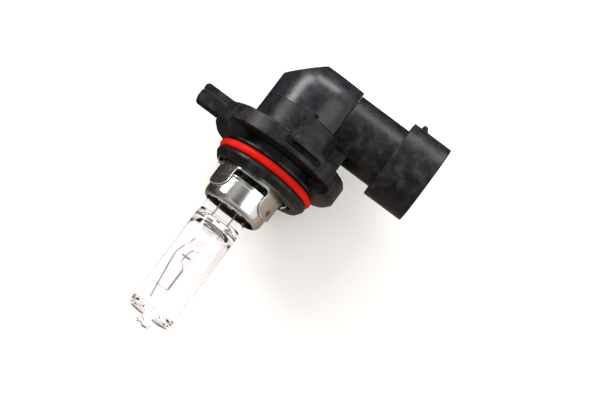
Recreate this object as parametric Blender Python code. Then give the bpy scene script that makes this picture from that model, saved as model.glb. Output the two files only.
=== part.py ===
"""A right-angle halogen headlight bulb, as an assembly of its separate pieces.

The bulb axis is X, with the glass tip towards +X. The connector opens towards +Y, and +Z is up. The
origin is on the axis of the moulded base, in the middle plane of the sealing ring.
"""

import math

import bmesh
import bpy
from mathutils import Matrix, Vector

MM = 0.001

# Clearances between pieces.
GAP = 0.3 * MM
SHEET_GAP = 0.2 * MM
BLADE_CLEARANCE = 0.3 * MM
WIRE_CLEARANCE = 0.2 * MM

# Where the metal holder and the glass capsule sit beside the axis of the base.
HOLDER_OFFSET = -1.3 * MM
CAPSULE_OFFSET = -2.0 * MM

# Glass capsule.
GLASS_RADIUS = 5.95 * MM
GLASS_WALL = 1.25 * MM
GLASS_END = 45.1 * MM
GLASS_END_ROUND = 1.6 * MM
GLASS_SHOULDER = 16.7 * MM
PINCH_REAR = 5.4 * MM
PINCH_INSET = 0.3 * MM
PINCH_THICKNESS = 4.4 * MM
PINCH_ROUND = 0.8 * MM
CAVITY_FRONT = 18.2 * MM
NUB_LENGTH = 2.8 * MM
NUB_RADIUS = 1.9 * MM
NUB_NECK_RADIUS = 1.2 * MM

# Foils and leads that pass through the pinch.
FOIL_LENGTH = 5.0 * MM
FOIL_WIDTH = 2.2 * MM
FOIL_THICKNESS = 0.1 * MM
FOIL_FRONT = 12.4 * MM
LEAD_SPREAD = 2.3 * MM
INNER_LEAD_RADIUS = 0.3 * MM
OUTER_LEAD_RADIUS = 0.35 * MM

# Filament and the wires that hold it.
COIL_START = 31.2 * MM
COIL_LENGTH = 6.0 * MM
COIL_RADIUS = 0.26 * MM
COIL_WIRE_RADIUS = 0.08 * MM
COIL_TURNS = 18
LONG_LEAD_BEND = 28.5 * MM
WALL_CLEARANCE = 0.2 * MM
LONG_LEAD_END = 41.0 * MM
LONG_LEAD_END_REACH = 2.4 * MM
SHORT_LEAD_END = 29.4 * MM
SHORT_LEAD_REACH = 1.5 * MM
STRIP_PLACE = 28.0 * MM
STRIP_SIZE = Vector((0.5, 2.4, 0.25)) * MM
BRIDGE_PLACE = 21.8 * MM
BRIDGE_LENGTH = 2.6 * MM
BRIDGE_OVERHANG = 1.4 * MM
BRIDGE_THICKNESS = 2.4 * MM

# Sheet-metal holder.
SHEET = 0.45 * MM
SLEEVE_REAR = -1.5 * MM
WINDOW_FLOOR = 3.9 * MM
TONGUE_END = 10.2 * MM
TONGUES = 3
WINDOW_SPAN = math.radians(68)
WINDOW_CORNER = 1.0 * MM
TONGUE_CORNER = 2.6 * MM
ANCHOR_TAB_WIDTH = 2.2 * MM
ANCHOR_TAB_REACH = 1.5 * MM
CUP_REAR = 5.9 * MM
CUP_FRONT = 12.9 * MM
CUP_SHOULDER = 2.0 * MM
CUP_MOUTH_CLEARANCE = 1.05 * MM
CUP_MOUTH_INSET = 1.2 * MM
CLAMP_WALL = 0.4 * MM
CLAMP_FRONT = 11.6 * MM
CLAMP_FINGER_WIDTH = 1.6 * MM

# Moulded base: boss, sealing-ring groove, lugs, disc, key and neck.
BOSS_FRONT = 3.6 * MM
BOSS_FACE_RADIUS = 12.0 * MM
BOSS_RADIUS = 13.0 * MM
BOSS_LIP = 2.2 * MM
RING_RADIUS = 12.4 * MM
RING_SECTION = 1.05 * MM
GROOVE_HALF_WIDTH = 1.35 * MM
WAIST_RADIUS = 11.6 * MM
COLLAR_REAR = -2.1 * MM
DISC_RADIUS = 17.2 * MM
DISC_FRONT = -4.5 * MM
DISC_REAR = -8.9 * MM
LUG_PROUD = 0.4 * MM
LUG_TIP = -1.5 * MM
LUG_SHOULDER = -2.4 * MM
LUG_CREST = -3.5 * MM
LUG_CORNER = 1.1 * MM
SIDE_LUG_SPAN = math.radians(64)
LOWER_LUG_SPAN = math.radians(36)
LUGS = (
    (math.radians(90), SIDE_LUG_SPAN),
    (math.radians(-90), SIDE_LUG_SPAN),
    (math.radians(180), LOWER_LUG_SPAN),
)
LUG_STEPS = 8
KEY_REACH = 24.6 * MM
KEY_FRONT = -4.3 * MM
KEY_STEP = -7.35 * MM
KEY_REAR = -9.7 * MM
KEY_THICKNESS = 5.2 * MM
KEY_REAR_THICKNESS = 3.6 * MM
NECK_RADIUS = 11.2 * MM
NECK_REAR = -16.1 * MM
NECK_WALL = 2.0 * MM
NECK_SHELF = -8.6 * MM
BOSS_SHELF = 1.4 * MM
SLOT_LIP = 1.3 * MM
SLOT_WIDTH = 1.7 * MM
SLOT_REACH = 9.5 * MM
SLOT_DEPTH = 3.4 * MM
SLOT_LEG_HALF_WIDTH = 0.8 * MM
GUSSET_REACH = 13.5 * MM
GUSSET_THICKNESS = 9.0 * MM
POCKET_WIDTH = 3.6 * MM
POCKET_REACH = 2.4 * MM
POCKET_DEPTH = 2.6 * MM

# Connector: barrel and shroud.
BARREL_AXIS = -21.5 * MM
BARREL_RADIUS = 8.4 * MM
BARREL_WALL = 2.2 * MM
BARREL_START = 7.8 * MM
SHROUD_START = 22.1 * MM
SHROUD_END = 33.2 * MM
SHROUD_SHIFT = 0.15 * MM
SHROUD_WIDTH = 21.3 * MM
SHROUD_HEIGHT = 17.8 * MM
SHROUD_WALL = 1.6 * MM
NUB_START = 24.0 * MM
LOCK_NUB_SIZE = Vector((1.0, 2.2, 4.2)) * MM

# Elbow cap.
CAP_REACH = 8.9 * MM
CAP_WALL = 1.7 * MM
CAP_END_HEIGHT = 0.3
CAP_CHAMFER = 7.4 * MM
CAP_SEAM = 0.2 * MM

# Terminals, their carrier, the seal and the wire sleeves.
BLADE_WIDTH = 2.8 * MM
BLADE_THICKNESS = 0.8 * MM
BLADE_END = 30.0 * MM
BLADE_PITCH = 6.4 * MM
BLADE_CHAMFER = 0.6 * MM
TERMINAL_LEG_INSET = 5.0 * MM
TERMINAL_LEG_END = -14.4 * MM
CARRIER_END = 20.0 * MM
SEAL_LENGTH = 4.0 * MM
WIRE_SLEEVE_RADIUS = 1.05 * MM
WIRE_SLEEVE_START = -1.0 * MM
WIRE_SLEEVE_END = -8.0 * MM

ROUND_STEPS = 64
SMALL_ROUND_STEPS = 20

# Sizes that follow from the ones above.
CAVITY_RADIUS = GLASS_RADIUS - GLASS_WALL
PINCH_WIDTH = 2 * (GLASS_RADIUS - PINCH_INSET)
LONG_LEAD_REACH = CAVITY_RADIUS - WALL_CLEARANCE - INNER_LEAD_RADIUS
UPPER_LEG_REACH = CAVITY_RADIUS - WALL_CLEARANCE
BRIDGE_WIDTH = 2 * (LEAD_SPREAD + BRIDGE_OVERHANG)
CUP_MOUTH_RADIUS = GLASS_RADIUS + CUP_MOUTH_CLEARANCE
CUP_RADIUS = CUP_MOUTH_RADIUS + CUP_MOUTH_INSET
SLEEVE_RADIUS = CUP_RADIUS + SHEET_GAP + SHEET
BOSS_BORE = SLEEVE_RADIUS - BOSS_SHELF
GROOVE_RADIUS = RING_RADIUS - RING_SECTION - GAP
LUG_RADIUS = DISC_RADIUS + LUG_PROUD
NECK_BORE = NECK_RADIUS - NECK_WALL
BARREL_BORE = BARREL_RADIUS - BARREL_WALL
SHROUD_CENTRE = BARREL_AXIS - SHROUD_SHIFT
CAP_REAR = BARREL_AXIS - CAP_REACH
TERMINAL_LEG_SPREAD = NECK_BORE - TERMINAL_LEG_INSET


# ---- Helpers ---------------------------------------------------------------------------------------


def clear_scene():
    for old in list(bpy.data.objects):
        bpy.data.objects.remove(old, do_unlink=True)


def finish(name, colour, roughness, metallic=0.0, transmission=0.0):
    material = bpy.data.materials.new(name)
    material.use_nodes = True
    shader = material.node_tree.nodes["Principled BSDF"]
    shader.inputs["Base Color"].default_value = (*colour, 1.0)
    shader.inputs["Roughness"].default_value = roughness
    shader.inputs["Metallic"].default_value = metallic
    shader.inputs["Transmission Weight"].default_value = transmission
    material.diffuse_color = (*colour, 1.0)
    return material


def add_object(name, bm, material=None, helper=False, merge=1e-8):
    """The bmesh as an object. A helper is a cutter or a shape to be joined, and isn't a piece itself."""
    bmesh.ops.remove_doubles(bm, verts=bm.verts, dist=merge)
    bmesh.ops.recalc_face_normals(bm, faces=bm.faces)
    mesh = bpy.data.meshes.new(name)
    bm.to_mesh(mesh)
    bm.free()
    mesh.shade_smooth()
    mesh.set_sharp_from_angle(angle=math.radians(35))
    piece = bpy.data.objects.new(name, mesh)
    bpy.context.collection.objects.link(piece)
    if material:
        mesh.materials.append(material)
    if helper:
        piece.hide_render = True
        piece.display_type = "WIRE"
    return piece


def combine(piece, other, operation):
    modifier = piece.modifiers.new(other.name, "BOOLEAN")
    modifier.operation = operation
    modifier.solver = "EXACT"
    modifier.object = other
    return piece


def join(piece, *others):
    for other in others:
        combine(piece, other, "UNION")
    return piece


def cut(piece, *cutters):
    for cutter in cutters:
        combine(piece, cutter, "DIFFERENCE")
    return piece


def turned(outline, axis="X", centre=(0, 0, 0), steps=ROUND_STEPS, start=0.0, sweep=math.tau):
    """Spins a closed outline of (distance along the axis, radius) points. Angle 0 is +Z."""
    bm = bmesh.new()
    points = []
    for along, radius in outline:
        if axis == "X":
            point = Vector((along, 0, radius))
        else:
            point = Vector((0, along, radius))
        points.append(bm.verts.new(point))
    loop = [bm.edges.new((a, b)) for a, b in zip(points, points[1:] + points[:1]) if a != b]
    direction = Vector((1, 0, 0)) if axis == "X" else Vector((0, 1, 0))
    whole = abs(sweep - math.tau) < 1e-6
    if whole:
        geometry = points + loop
    else:
        face = bm.faces.new(points)
        bmesh.ops.rotate(bm, verts=points, cent=(0, 0, 0), matrix=Matrix.Rotation(start, 3, direction))
        geometry = [face, *points, *loop]
    bmesh.ops.spin(
        bm, geom=geometry, cent=(0, 0, 0), axis=direction, angle=sweep, steps=steps, use_merge=whole
    )
    bmesh.ops.remove_doubles(bm, verts=bm.verts, dist=1e-7)
    flat = [edge for edge in bm.edges if not edge.link_faces]
    bmesh.ops.delete(bm, geom=flat, context="EDGES")
    bmesh.ops.translate(bm, verts=bm.verts, vec=centre)
    return bm


def cylinder(start, end, radius, axis="X", centre=(0, 0, 0), steps=ROUND_STEPS):
    return turned([(start, 0), (end, 0), (end, radius), (start, radius)], axis, centre, steps)


def box(low, high, edge=0.0, edge_steps=2):
    bm = bmesh.new()
    bmesh.ops.create_cube(bm, size=1.0)
    low, high = Vector(low), Vector(high)
    middle, size = (low + high) / 2, high - low
    for vert in bm.verts:
        vert.co = Vector(tuple(vert.co[i] * size[i] + middle[i] for i in range(3)))
    if edge:
        bmesh.ops.bevel(bm, geom=bm.edges, offset=edge, segments=edge_steps, affect="EDGES", profile=0.5)
    return bm


def prism(outline, low, high, plane="XY"):
    """Extrudes a closed outline, drawn in the named plane, between two heights."""
    places = {
        "XY": lambda a, b, h: (a, b, h),
        "XZ": lambda a, b, h: (a, h, b),
        "YZ": lambda a, b, h: (h, a, b),
    }
    place = places[plane]
    bm = bmesh.new()
    bottom = bm.faces.new([bm.verts.new(place(a, b, low)) for a, b in outline])
    lifted = bmesh.ops.extrude_face_region(bm, geom=[bottom])["geom"]
    move = Vector(place(0, 0, high)) - Vector(place(0, 0, low))
    tops = [item for item in lifted if isinstance(item, bmesh.types.BMVert)]
    bmesh.ops.translate(bm, verts=tops, vec=move)
    return bm


def arc(centre, radius, start, end, steps):
    """Points of an arc, with angles in degrees from the first axis of its plane."""
    places = []
    for i in range(steps + 1):
        angle = math.radians(start + (end - start) * i / steps)
        places.append((centre[0] + radius * math.cos(angle), centre[1] + radius * math.sin(angle)))
    return places


def oval(centre, width, height, steps=56, squareness=2.2):
    """A rounded outline between an ellipse, at squareness 2, and a rectangle."""
    outline = []
    for i in range(steps):
        angle = math.tau * i / steps
        c, s = math.cos(angle), math.sin(angle)
        across = math.copysign(abs(c) ** (2 / squareness), c)
        up = math.copysign(abs(s) ** (2 / squareness), s)
        outline.append((centre[0] + across * width / 2, centre[1] + up * height / 2))
    return outline


def rounded_path(points, radius, steps=4):
    """The points joined by straight runs, with each inner corner turned by an arc-like curve."""
    points = [Vector(point) for point in points]
    path = [points[0]]
    for before, corner, after in zip(points, points[1:], points[2:]):
        reach = min(radius, (before - corner).length / 2, (after - corner).length / 2)
        a = corner + (before - corner).normalized() * reach
        b = corner + (after - corner).normalized() * reach
        for i in range(steps + 1):
            t = i / steps
            path.append(a * (1 - t) ** 2 + corner * (2 * t * (1 - t)) + b * t * t)
    path.append(points[-1])
    return path


def wire(name, path, radius, material, resolution=2):
    """A round wire along the path, with flat ends."""
    curve = bpy.data.curves.new(name, "CURVE")
    curve.dimensions = "3D"
    curve.bevel_depth = radius
    curve.bevel_resolution = resolution
    curve.use_fill_caps = True
    line = curve.splines.new("POLY")
    line.points.add(len(path) - 1)
    for point, place in zip(line.points, path):
        point.co = (*place, 1.0)
    curve.materials.append(material)
    piece = bpy.data.objects.new(name, curve)
    bpy.context.collection.objects.link(piece)
    return piece


def helper(name, bm):
    return add_object(name, bm, helper=True)


# ---- Glass capsule and what is in it ---------------------------------------------------------------


def lead_place(side):
    """Where a lead crosses the pinch. Side -1 is away from the connector, +1 towards it."""
    return CAPSULE_OFFSET + side * LEAD_SPREAD


def make_glass(material):
    cavity_end = GLASS_END - GLASS_WALL
    end = arc((GLASS_END - GLASS_END_ROUND, GLASS_RADIUS - GLASS_END_ROUND), GLASS_END_ROUND, 90, 15, 5)
    nub_middle = GLASS_END + NUB_LENGTH - NUB_RADIUS * 0.8
    nub = arc((nub_middle, 0), NUB_RADIUS, 110, 0, 6)
    outline = [(GLASS_SHOULDER - 1.0 * MM, 0), (GLASS_SHOULDER - 1.0 * MM, GLASS_RADIUS - 0.5 * MM)]
    outline += [(GLASS_SHOULDER, GLASS_RADIUS)] + end + [(GLASS_END, NUB_NECK_RADIUS)] + nub[:-1]
    outline += [(nub_middle + NUB_RADIUS, 0)]
    centre = (0, CAPSULE_OFFSET, 0)
    glass = add_object("glass_envelope", turned(outline, centre=centre, steps=48), material)
    pinch = box(
        (PINCH_REAR, CAPSULE_OFFSET - PINCH_WIDTH / 2, -PINCH_THICKNESS / 2),
        (CAVITY_FRONT, CAPSULE_OFFSET + PINCH_WIDTH / 2, PINCH_THICKNESS / 2),
        PINCH_ROUND,
    )
    corner = (cavity_end - GLASS_END_ROUND, CAVITY_RADIUS - GLASS_END_ROUND)
    hollow = [(CAVITY_FRONT, 0), (CAVITY_FRONT, CAVITY_RADIUS - GLASS_END_ROUND)]
    hollow += [(CAVITY_FRONT + GLASS_END_ROUND, CAVITY_RADIUS)]
    hollow += arc(corner, GLASS_END_ROUND, 90, 0, 5) + [(cavity_end, 0)]
    join(glass, helper("pinch", pinch))
    cut(glass, helper("capsule_hollow", turned(hollow, centre=centre, steps=48)))
    foil_rear = FOIL_FRONT - FOIL_LENGTH
    for side, word in ((-1, "long"), (1, "short")):
        middle = (0, lead_place(side), 0)
        inner = cylinder(
            FOIL_FRONT, CAVITY_FRONT + GAP, INNER_LEAD_RADIUS + WIRE_CLEARANCE, centre=middle, steps=12
        )
        outer = cylinder(
            PINCH_REAR - GAP, foil_rear, OUTER_LEAD_RADIUS + WIRE_CLEARANCE, centre=middle, steps=12
        )
        half_width = FOIL_WIDTH / 2 + WIRE_CLEARANCE
        half_height = FOIL_THICKNESS / 2 + WIRE_CLEARANCE
        pocket = box(
            (foil_rear - GAP, middle[1] - half_width, -half_height),
            (FOIL_FRONT + GAP, middle[1] + half_width, half_height),
        )
        cut(glass, helper(f"{word}_inner_bore", inner), helper(f"{word}_outer_bore", outer))
        cut(glass, helper(f"{word}_foil_pocket", pocket))
    return glass


def make_foils(material):
    for side, word in ((-1, "long"), (1, "short")):
        middle = lead_place(side)
        foil = box(
            (FOIL_FRONT - FOIL_LENGTH + GAP, middle - FOIL_WIDTH / 2, -FOIL_THICKNESS / 2),
            (FOIL_FRONT - GAP, middle + FOIL_WIDTH / 2, FOIL_THICKNESS / 2),
        )
        add_object(f"molybdenum_foil_{word}", foil, material)


def bridge_clear():
    """How far in front of the bridge the leads start to bend."""
    return BRIDGE_PLACE + BRIDGE_LENGTH / 2 + 0.4 * MM


def make_support_leads(material):
    long_path = [
        (FOIL_FRONT + GAP / 2, lead_place(-1), 0),
        (bridge_clear(), lead_place(-1), 0),
        (LONG_LEAD_BEND, CAPSULE_OFFSET - LONG_LEAD_REACH, 0),
        (LONG_LEAD_END, CAPSULE_OFFSET - LONG_LEAD_END_REACH, 0),
    ]
    short_path = [
        (FOIL_FRONT + GAP / 2, lead_place(1), 0),
        (bridge_clear(), lead_place(1), 0),
        (bridge_clear() + 2.6 * MM, CAPSULE_OFFSET - SHORT_LEAD_REACH * 0.8, 0),
        (SHORT_LEAD_END, CAPSULE_OFFSET - SHORT_LEAD_REACH, 0),
    ]
    wire("long_support_lead", rounded_path(long_path, 1.2 * MM), INNER_LEAD_RADIUS, material)
    wire("short_support_lead", rounded_path(short_path, 0.9 * MM), INNER_LEAD_RADIUS, material)


def leg_height():
    """How high above the middle plane a filament leg crosses the lead that it is welded to."""
    return INNER_LEAD_RADIUS + COIL_WIRE_RADIUS + WIRE_CLEARANCE


def make_filament(material):
    steps = 12
    path = []
    foot = (SHORT_LEAD_END - 1.4 * MM, CAPSULE_OFFSET - SHORT_LEAD_REACH, leg_height())
    knee = (COIL_START - 0.9 * MM, CAPSULE_OFFSET - SHORT_LEAD_REACH, leg_height())
    hip = (COIL_START - 0.4 * MM, CAPSULE_OFFSET - COIL_RADIUS - 0.4 * MM, COIL_RADIUS)
    path += rounded_path([foot, knee, hip, (COIL_START, CAPSULE_OFFSET, COIL_RADIUS)], 0.4 * MM)[:-1]
    for i in range(COIL_TURNS * steps + 1):
        turn = i / steps
        angle = math.tau * turn
        path.append(
            Vector(
                (
                    COIL_START + COIL_LENGTH * turn / COIL_TURNS,
                    CAPSULE_OFFSET + COIL_RADIUS * math.sin(angle),
                    COIL_RADIUS * math.cos(angle),
                )
            )
        )
    top = COIL_START + COIL_LENGTH
    bend = (top + 0.35 * MM, CAPSULE_OFFSET - COIL_RADIUS, leg_height())
    end = (top + 0.35 * MM, CAPSULE_OFFSET - UPPER_LEG_REACH, leg_height())
    path += rounded_path([path[-1], bend, end], 0.3 * MM)[1:]
    wire("filament", path, COIL_WIRE_RADIUS, material, resolution=1)


def make_weld_strip(material):
    top = -(INNER_LEAD_RADIUS + WIRE_CLEARANCE)
    middle = CAPSULE_OFFSET - SHORT_LEAD_REACH + 0.3 * MM
    half = STRIP_SIZE / 2
    strip = box(
        (STRIP_PLACE - half.x, middle - half.y, top - STRIP_SIZE.z),
        (STRIP_PLACE + half.x, middle + half.y, top),
    )
    add_object("filament_weld_strip", strip, material)


def make_bridge(material):
    low = (BRIDGE_PLACE - BRIDGE_LENGTH / 2, CAPSULE_OFFSET - BRIDGE_WIDTH / 2, -BRIDGE_THICKNESS / 2)
    high = (BRIDGE_PLACE + BRIDGE_LENGTH / 2, CAPSULE_OFFSET + BRIDGE_WIDTH / 2, BRIDGE_THICKNESS / 2)
    bridge = add_object("glass_bridge", box(low, high, 0.9 * MM, 3), material)
    for side, word in ((-1, "long"), (1, "short")):
        bore = cylinder(
            low[0] - GAP,
            high[0] + GAP,
            INNER_LEAD_RADIUS + WIRE_CLEARANCE,
            centre=(0, lead_place(side), 0),
            steps=12,
        )
        cut(bridge, helper(f"bridge_{word}_bore", bore))


def terminal_leg_place(side):
    return side * TERMINAL_LEG_SPREAD


def make_outer_leads(material):
    start = FOIL_FRONT - FOIL_LENGTH - GAP / 2
    weld_height = BLADE_THICKNESS / 2 + OUTER_LEAD_RADIUS + WIRE_CLEARANCE
    for side, word in ((-1, "long"), (1, "short")):
        leg = terminal_leg_place(side)
        path = [
            (start, lead_place(side), 0),
            (PINCH_REAR - 3.0 * MM, lead_place(side), 0),
            (WIRE_SLEEVE_START + 0.6 * MM, leg, weld_height),
            (TERMINAL_LEG_END - 2.4 * MM, leg, weld_height),
        ]
        wire(f"outer_lead_{word}", rounded_path(path, 1.0 * MM), OUTER_LEAD_RADIUS, material)


def make_wire_sleeves(material):
    weld_height = BLADE_THICKNESS / 2 + OUTER_LEAD_RADIUS + WIRE_CLEARANCE
    bore = OUTER_LEAD_RADIUS + WIRE_CLEARANCE
    for side, word in ((-1, "long"), (1, "short")):
        outline = [
            (WIRE_SLEEVE_END, bore),
            (WIRE_SLEEVE_START, bore),
            (WIRE_SLEEVE_START, WIRE_SLEEVE_RADIUS),
            (WIRE_SLEEVE_END, WIRE_SLEEVE_RADIUS),
        ]
        centre = (0, terminal_leg_place(side), weld_height)
        add_object(
            f"wire_sleeve_{word}", turned(outline, centre=centre, steps=SMALL_ROUND_STEPS), material
        )


# ---- Sheet-metal holder ----------------------------------------------------------------------------


def window_outline():
    """Across the window and along the axis: a U that flares where the tongues' corners are rounded."""
    half = SLEEVE_RADIUS * math.sin(WINDOW_SPAN / 2)
    low = WINDOW_FLOOR
    high = TONGUE_END + 1.0 * MM
    outline = arc((low + WINDOW_CORNER, half - WINDOW_CORNER), WINDOW_CORNER, 90, 180, 4)
    outline += arc((low + WINDOW_CORNER, WINDOW_CORNER - half), WINDOW_CORNER, 180, 270, 4)
    outline += arc((TONGUE_END - TONGUE_CORNER, -half - TONGUE_CORNER), TONGUE_CORNER, 90, 10, 6)
    outline += [(high, -half - TONGUE_CORNER), (high, half + TONGUE_CORNER)]
    outline += arc((TONGUE_END - TONGUE_CORNER, half + TONGUE_CORNER), TONGUE_CORNER, -10, -90, 6)
    return outline


def make_sleeve(material):
    centre = (0, HOLDER_OFFSET, 0)
    inside = SLEEVE_RADIUS - SHEET
    outline = [
        (SLEEVE_REAR, inside),
        (TONGUE_END, inside),
        (TONGUE_END, SLEEVE_RADIUS),
        (SLEEVE_REAR, SLEEVE_RADIUS),
    ]
    sleeve = add_object("mounting_sleeve", turned(outline, centre=centre), material)
    for i in range(TONGUES):
        window = prism(window_outline(), 2 * MM, SLEEVE_RADIUS + 2 * MM)
        bmesh.ops.rotate(
            window,
            verts=window.verts,
            cent=(0, 0, 0),
            matrix=Matrix.Rotation(math.tau * i / TONGUES, 3, "X"),
        )
        bmesh.ops.translate(window, verts=window.verts, vec=centre)
        cut(sleeve, helper(f"sleeve_window_{i + 1}", window))
    for side, word in ((-1, "far"), (1, "near")):
        inner = HOLDER_OFFSET + side * (SLEEVE_RADIUS - SHEET / 2)
        outer = HOLDER_OFFSET + side * (SLEEVE_RADIUS + ANCHOR_TAB_REACH)
        tab = box(
            (BOSS_FRONT - 1.4 * MM, min(inner, outer), -ANCHOR_TAB_WIDTH / 2),
            (BOSS_FRONT - 1.4 * MM + SHEET, max(inner, outer), ANCHOR_TAB_WIDTH / 2),
        )
        join(sleeve, helper(f"anchor_tab_{word}", tab))
    return sleeve


def clamp_half(clearance=0.0):
    """Half the clamp's outer width and thickness."""
    wall = CLAMP_WALL + SHEET_GAP + clearance
    return PINCH_WIDTH / 2 + wall, PINCH_THICKNESS / 2 + wall


def cup_shoulder(inset):
    """The rounded shoulder from the cup's wall to its mouth, set in by the sheet's thickness or not."""
    outer = CUP_RADIUS - inset
    mouth = CUP_MOUTH_RADIUS
    points = []
    for i in range(7):
        angle = math.radians(90 * i / 6)
        along = CUP_FRONT - CUP_SHOULDER + (CUP_SHOULDER - inset) * math.sin(angle)
        points.append((along, mouth + (outer - mouth) * math.cos(angle)))
    return points


def make_cup(material):
    outer = CUP_RADIUS
    floor = CUP_REAR + SHEET
    outline = [(CUP_REAR, 0), (CUP_REAR, outer)] + cup_shoulder(0.0)
    outline += cup_shoulder(SHEET)[::-1] + [(floor, outer - SHEET), (floor, 0)]
    centre = (0, HOLDER_OFFSET, 0)
    cup = add_object("capsule_cup", turned(outline, centre=centre), material)
    half_width, half_height = clamp_half(SHEET_GAP)
    hole = box(
        (CUP_REAR - 1 * MM, CAPSULE_OFFSET - half_width, -half_height),
        (floor + 1 * MM, CAPSULE_OFFSET + half_width, half_height),
    )
    cut(cup, helper("cup_hole", hole))


def make_clamp(material):
    half_width, half_height = clamp_half()
    rear = CUP_REAR - 0.4 * MM
    frame = box(
        (rear, CAPSULE_OFFSET - half_width, -half_height),
        (CLAMP_FRONT, CAPSULE_OFFSET + half_width, half_height),
        0.5 * MM,
    )
    inner_width, inner_height = half_width - CLAMP_WALL, half_height - CLAMP_WALL
    passage = box(
        (rear - 1 * MM, CAPSULE_OFFSET - inner_width, -inner_height),
        (CLAMP_FRONT + 1 * MM, CAPSULE_OFFSET + inner_width, inner_height),
    )
    clamp = add_object("pinch_clamp", frame, material)
    cut(clamp, helper("clamp_passage", passage))
    reach = math.sqrt((CUP_RADIUS - SHEET) ** 2 - (half_width * 0.45) ** 2) - 1.2 * MM
    for across in (-0.4, 0.4):
        for up in (-1, 1):
            middle = CAPSULE_OFFSET + across * half_width
            near, far = up * (half_height - CLAMP_WALL / 2), up * reach
            finger = box(
                (CLAMP_FRONT - 2.2 * MM, middle - CLAMP_FINGER_WIDTH / 2, min(near, far)),
                (CLAMP_FRONT - 2.2 * MM + CLAMP_WALL, middle + CLAMP_FINGER_WIDTH / 2, max(near, far)),
            )
            join(clamp, helper("clamp_finger", finger))


# ---- Moulded base, sealing ring and elbow cap ------------------------------------------------------


def make_ring(material):
    outline = arc((0, RING_RADIUS), RING_SECTION, 0, 330, 11)
    add_object("o_ring", turned(outline), material)


def base_outline():
    """The turned part of the base, from the boss's face to the neck's rear."""
    return [
        (NECK_REAR, 0),
        (BOSS_FRONT, 0),
        (BOSS_FRONT, BOSS_FACE_RADIUS),
        (BOSS_LIP, BOSS_RADIUS),
        (GROOVE_HALF_WIDTH, BOSS_RADIUS),
        (GROOVE_HALF_WIDTH, GROOVE_RADIUS),
        (-GROOVE_HALF_WIDTH, GROOVE_RADIUS),
        (-GROOVE_HALF_WIDTH, BOSS_RADIUS),
        (COLLAR_REAR, BOSS_RADIUS),
        (COLLAR_REAR, WAIST_RADIUS),
        (DISC_FRONT, WAIST_RADIUS),
        (DISC_FRONT, DISC_RADIUS),
        (DISC_REAR, DISC_RADIUS),
        (DISC_REAR, NECK_RADIUS),
        (NECK_REAR, NECK_RADIUS),
    ]


def lug_outline():
    return [
        (DISC_FRONT - 0.5 * MM, WAIST_RADIUS - 0.5 * MM),
        (LUG_TIP, WAIST_RADIUS - 0.5 * MM),
        (LUG_TIP, BOSS_RADIUS),
        (LUG_SHOULDER, LUG_RADIUS - LUG_CORNER),
        (LUG_CREST, LUG_RADIUS),
        (DISC_FRONT - 0.5 * MM, LUG_RADIUS),
    ]


def key_outline(front, rear):
    """The key's side, in the plane of the two axes, with a rounded outer end."""
    start = -DISC_RADIUS + 2 * MM
    round_end = 1.1 * MM
    outline = [(front, start)]
    outline += arc((front - round_end, -KEY_REACH + round_end), round_end, 0, -90, 4)
    outline += arc((rear + round_end, -KEY_REACH + round_end), round_end, -90, -180, 4)
    outline += [(rear, start)]
    return outline


def base_shapes():
    """The shapes that are joined to the turned part of the base."""
    for i, (direction, span) in enumerate(LUGS):
        sector = turned(lug_outline(), steps=LUG_STEPS, start=-direction - span / 2, sweep=span)
        yield helper(f"lug_{i + 1}", sector)
    yield helper(
        "key_front",
        prism(key_outline(KEY_FRONT, KEY_STEP - 0.4 * MM), -KEY_THICKNESS / 2, KEY_THICKNESS / 2),
    )
    yield helper(
        "key_rear",
        prism(key_outline(KEY_STEP, KEY_REAR), -KEY_REAR_THICKNESS / 2, KEY_REAR_THICKNESS / 2),
    )
    yield helper(
        "barrel",
        cylinder(BARREL_START, SHROUD_START + 1 * MM, BARREL_RADIUS, "Y", (BARREL_AXIS, 0, 0)),
    )
    yield helper(
        "shroud",
        prism(
            oval((SHROUD_CENTRE, 0), SHROUD_WIDTH, SHROUD_HEIGHT), SHROUD_START, SHROUD_END, "XZ"
        ),
    )
    yield helper(
        "gusset",
        box(
            (BARREL_AXIS + BARREL_RADIUS - 2 * MM, BARREL_START - 1 * MM, -GUSSET_THICKNESS / 2),
            (DISC_REAR + 1 * MM, GUSSET_REACH, GUSSET_THICKNESS / 2),
        ),
    )
    rear = SHROUD_CENTRE - SHROUD_WIDTH / 2
    lock = [
        (rear + 0.5 * MM, NUB_START),
        (rear - LOCK_NUB_SIZE.x, NUB_START + 0.3 * MM),
        (rear - LOCK_NUB_SIZE.x, NUB_START + LOCK_NUB_SIZE.y * 0.6),
        (rear + 0.5 * MM, NUB_START + LOCK_NUB_SIZE.y),
    ]
    yield helper("lock_nub", prism(lock, -LOCK_NUB_SIZE.z / 2, LOCK_NUB_SIZE.z / 2))


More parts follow.
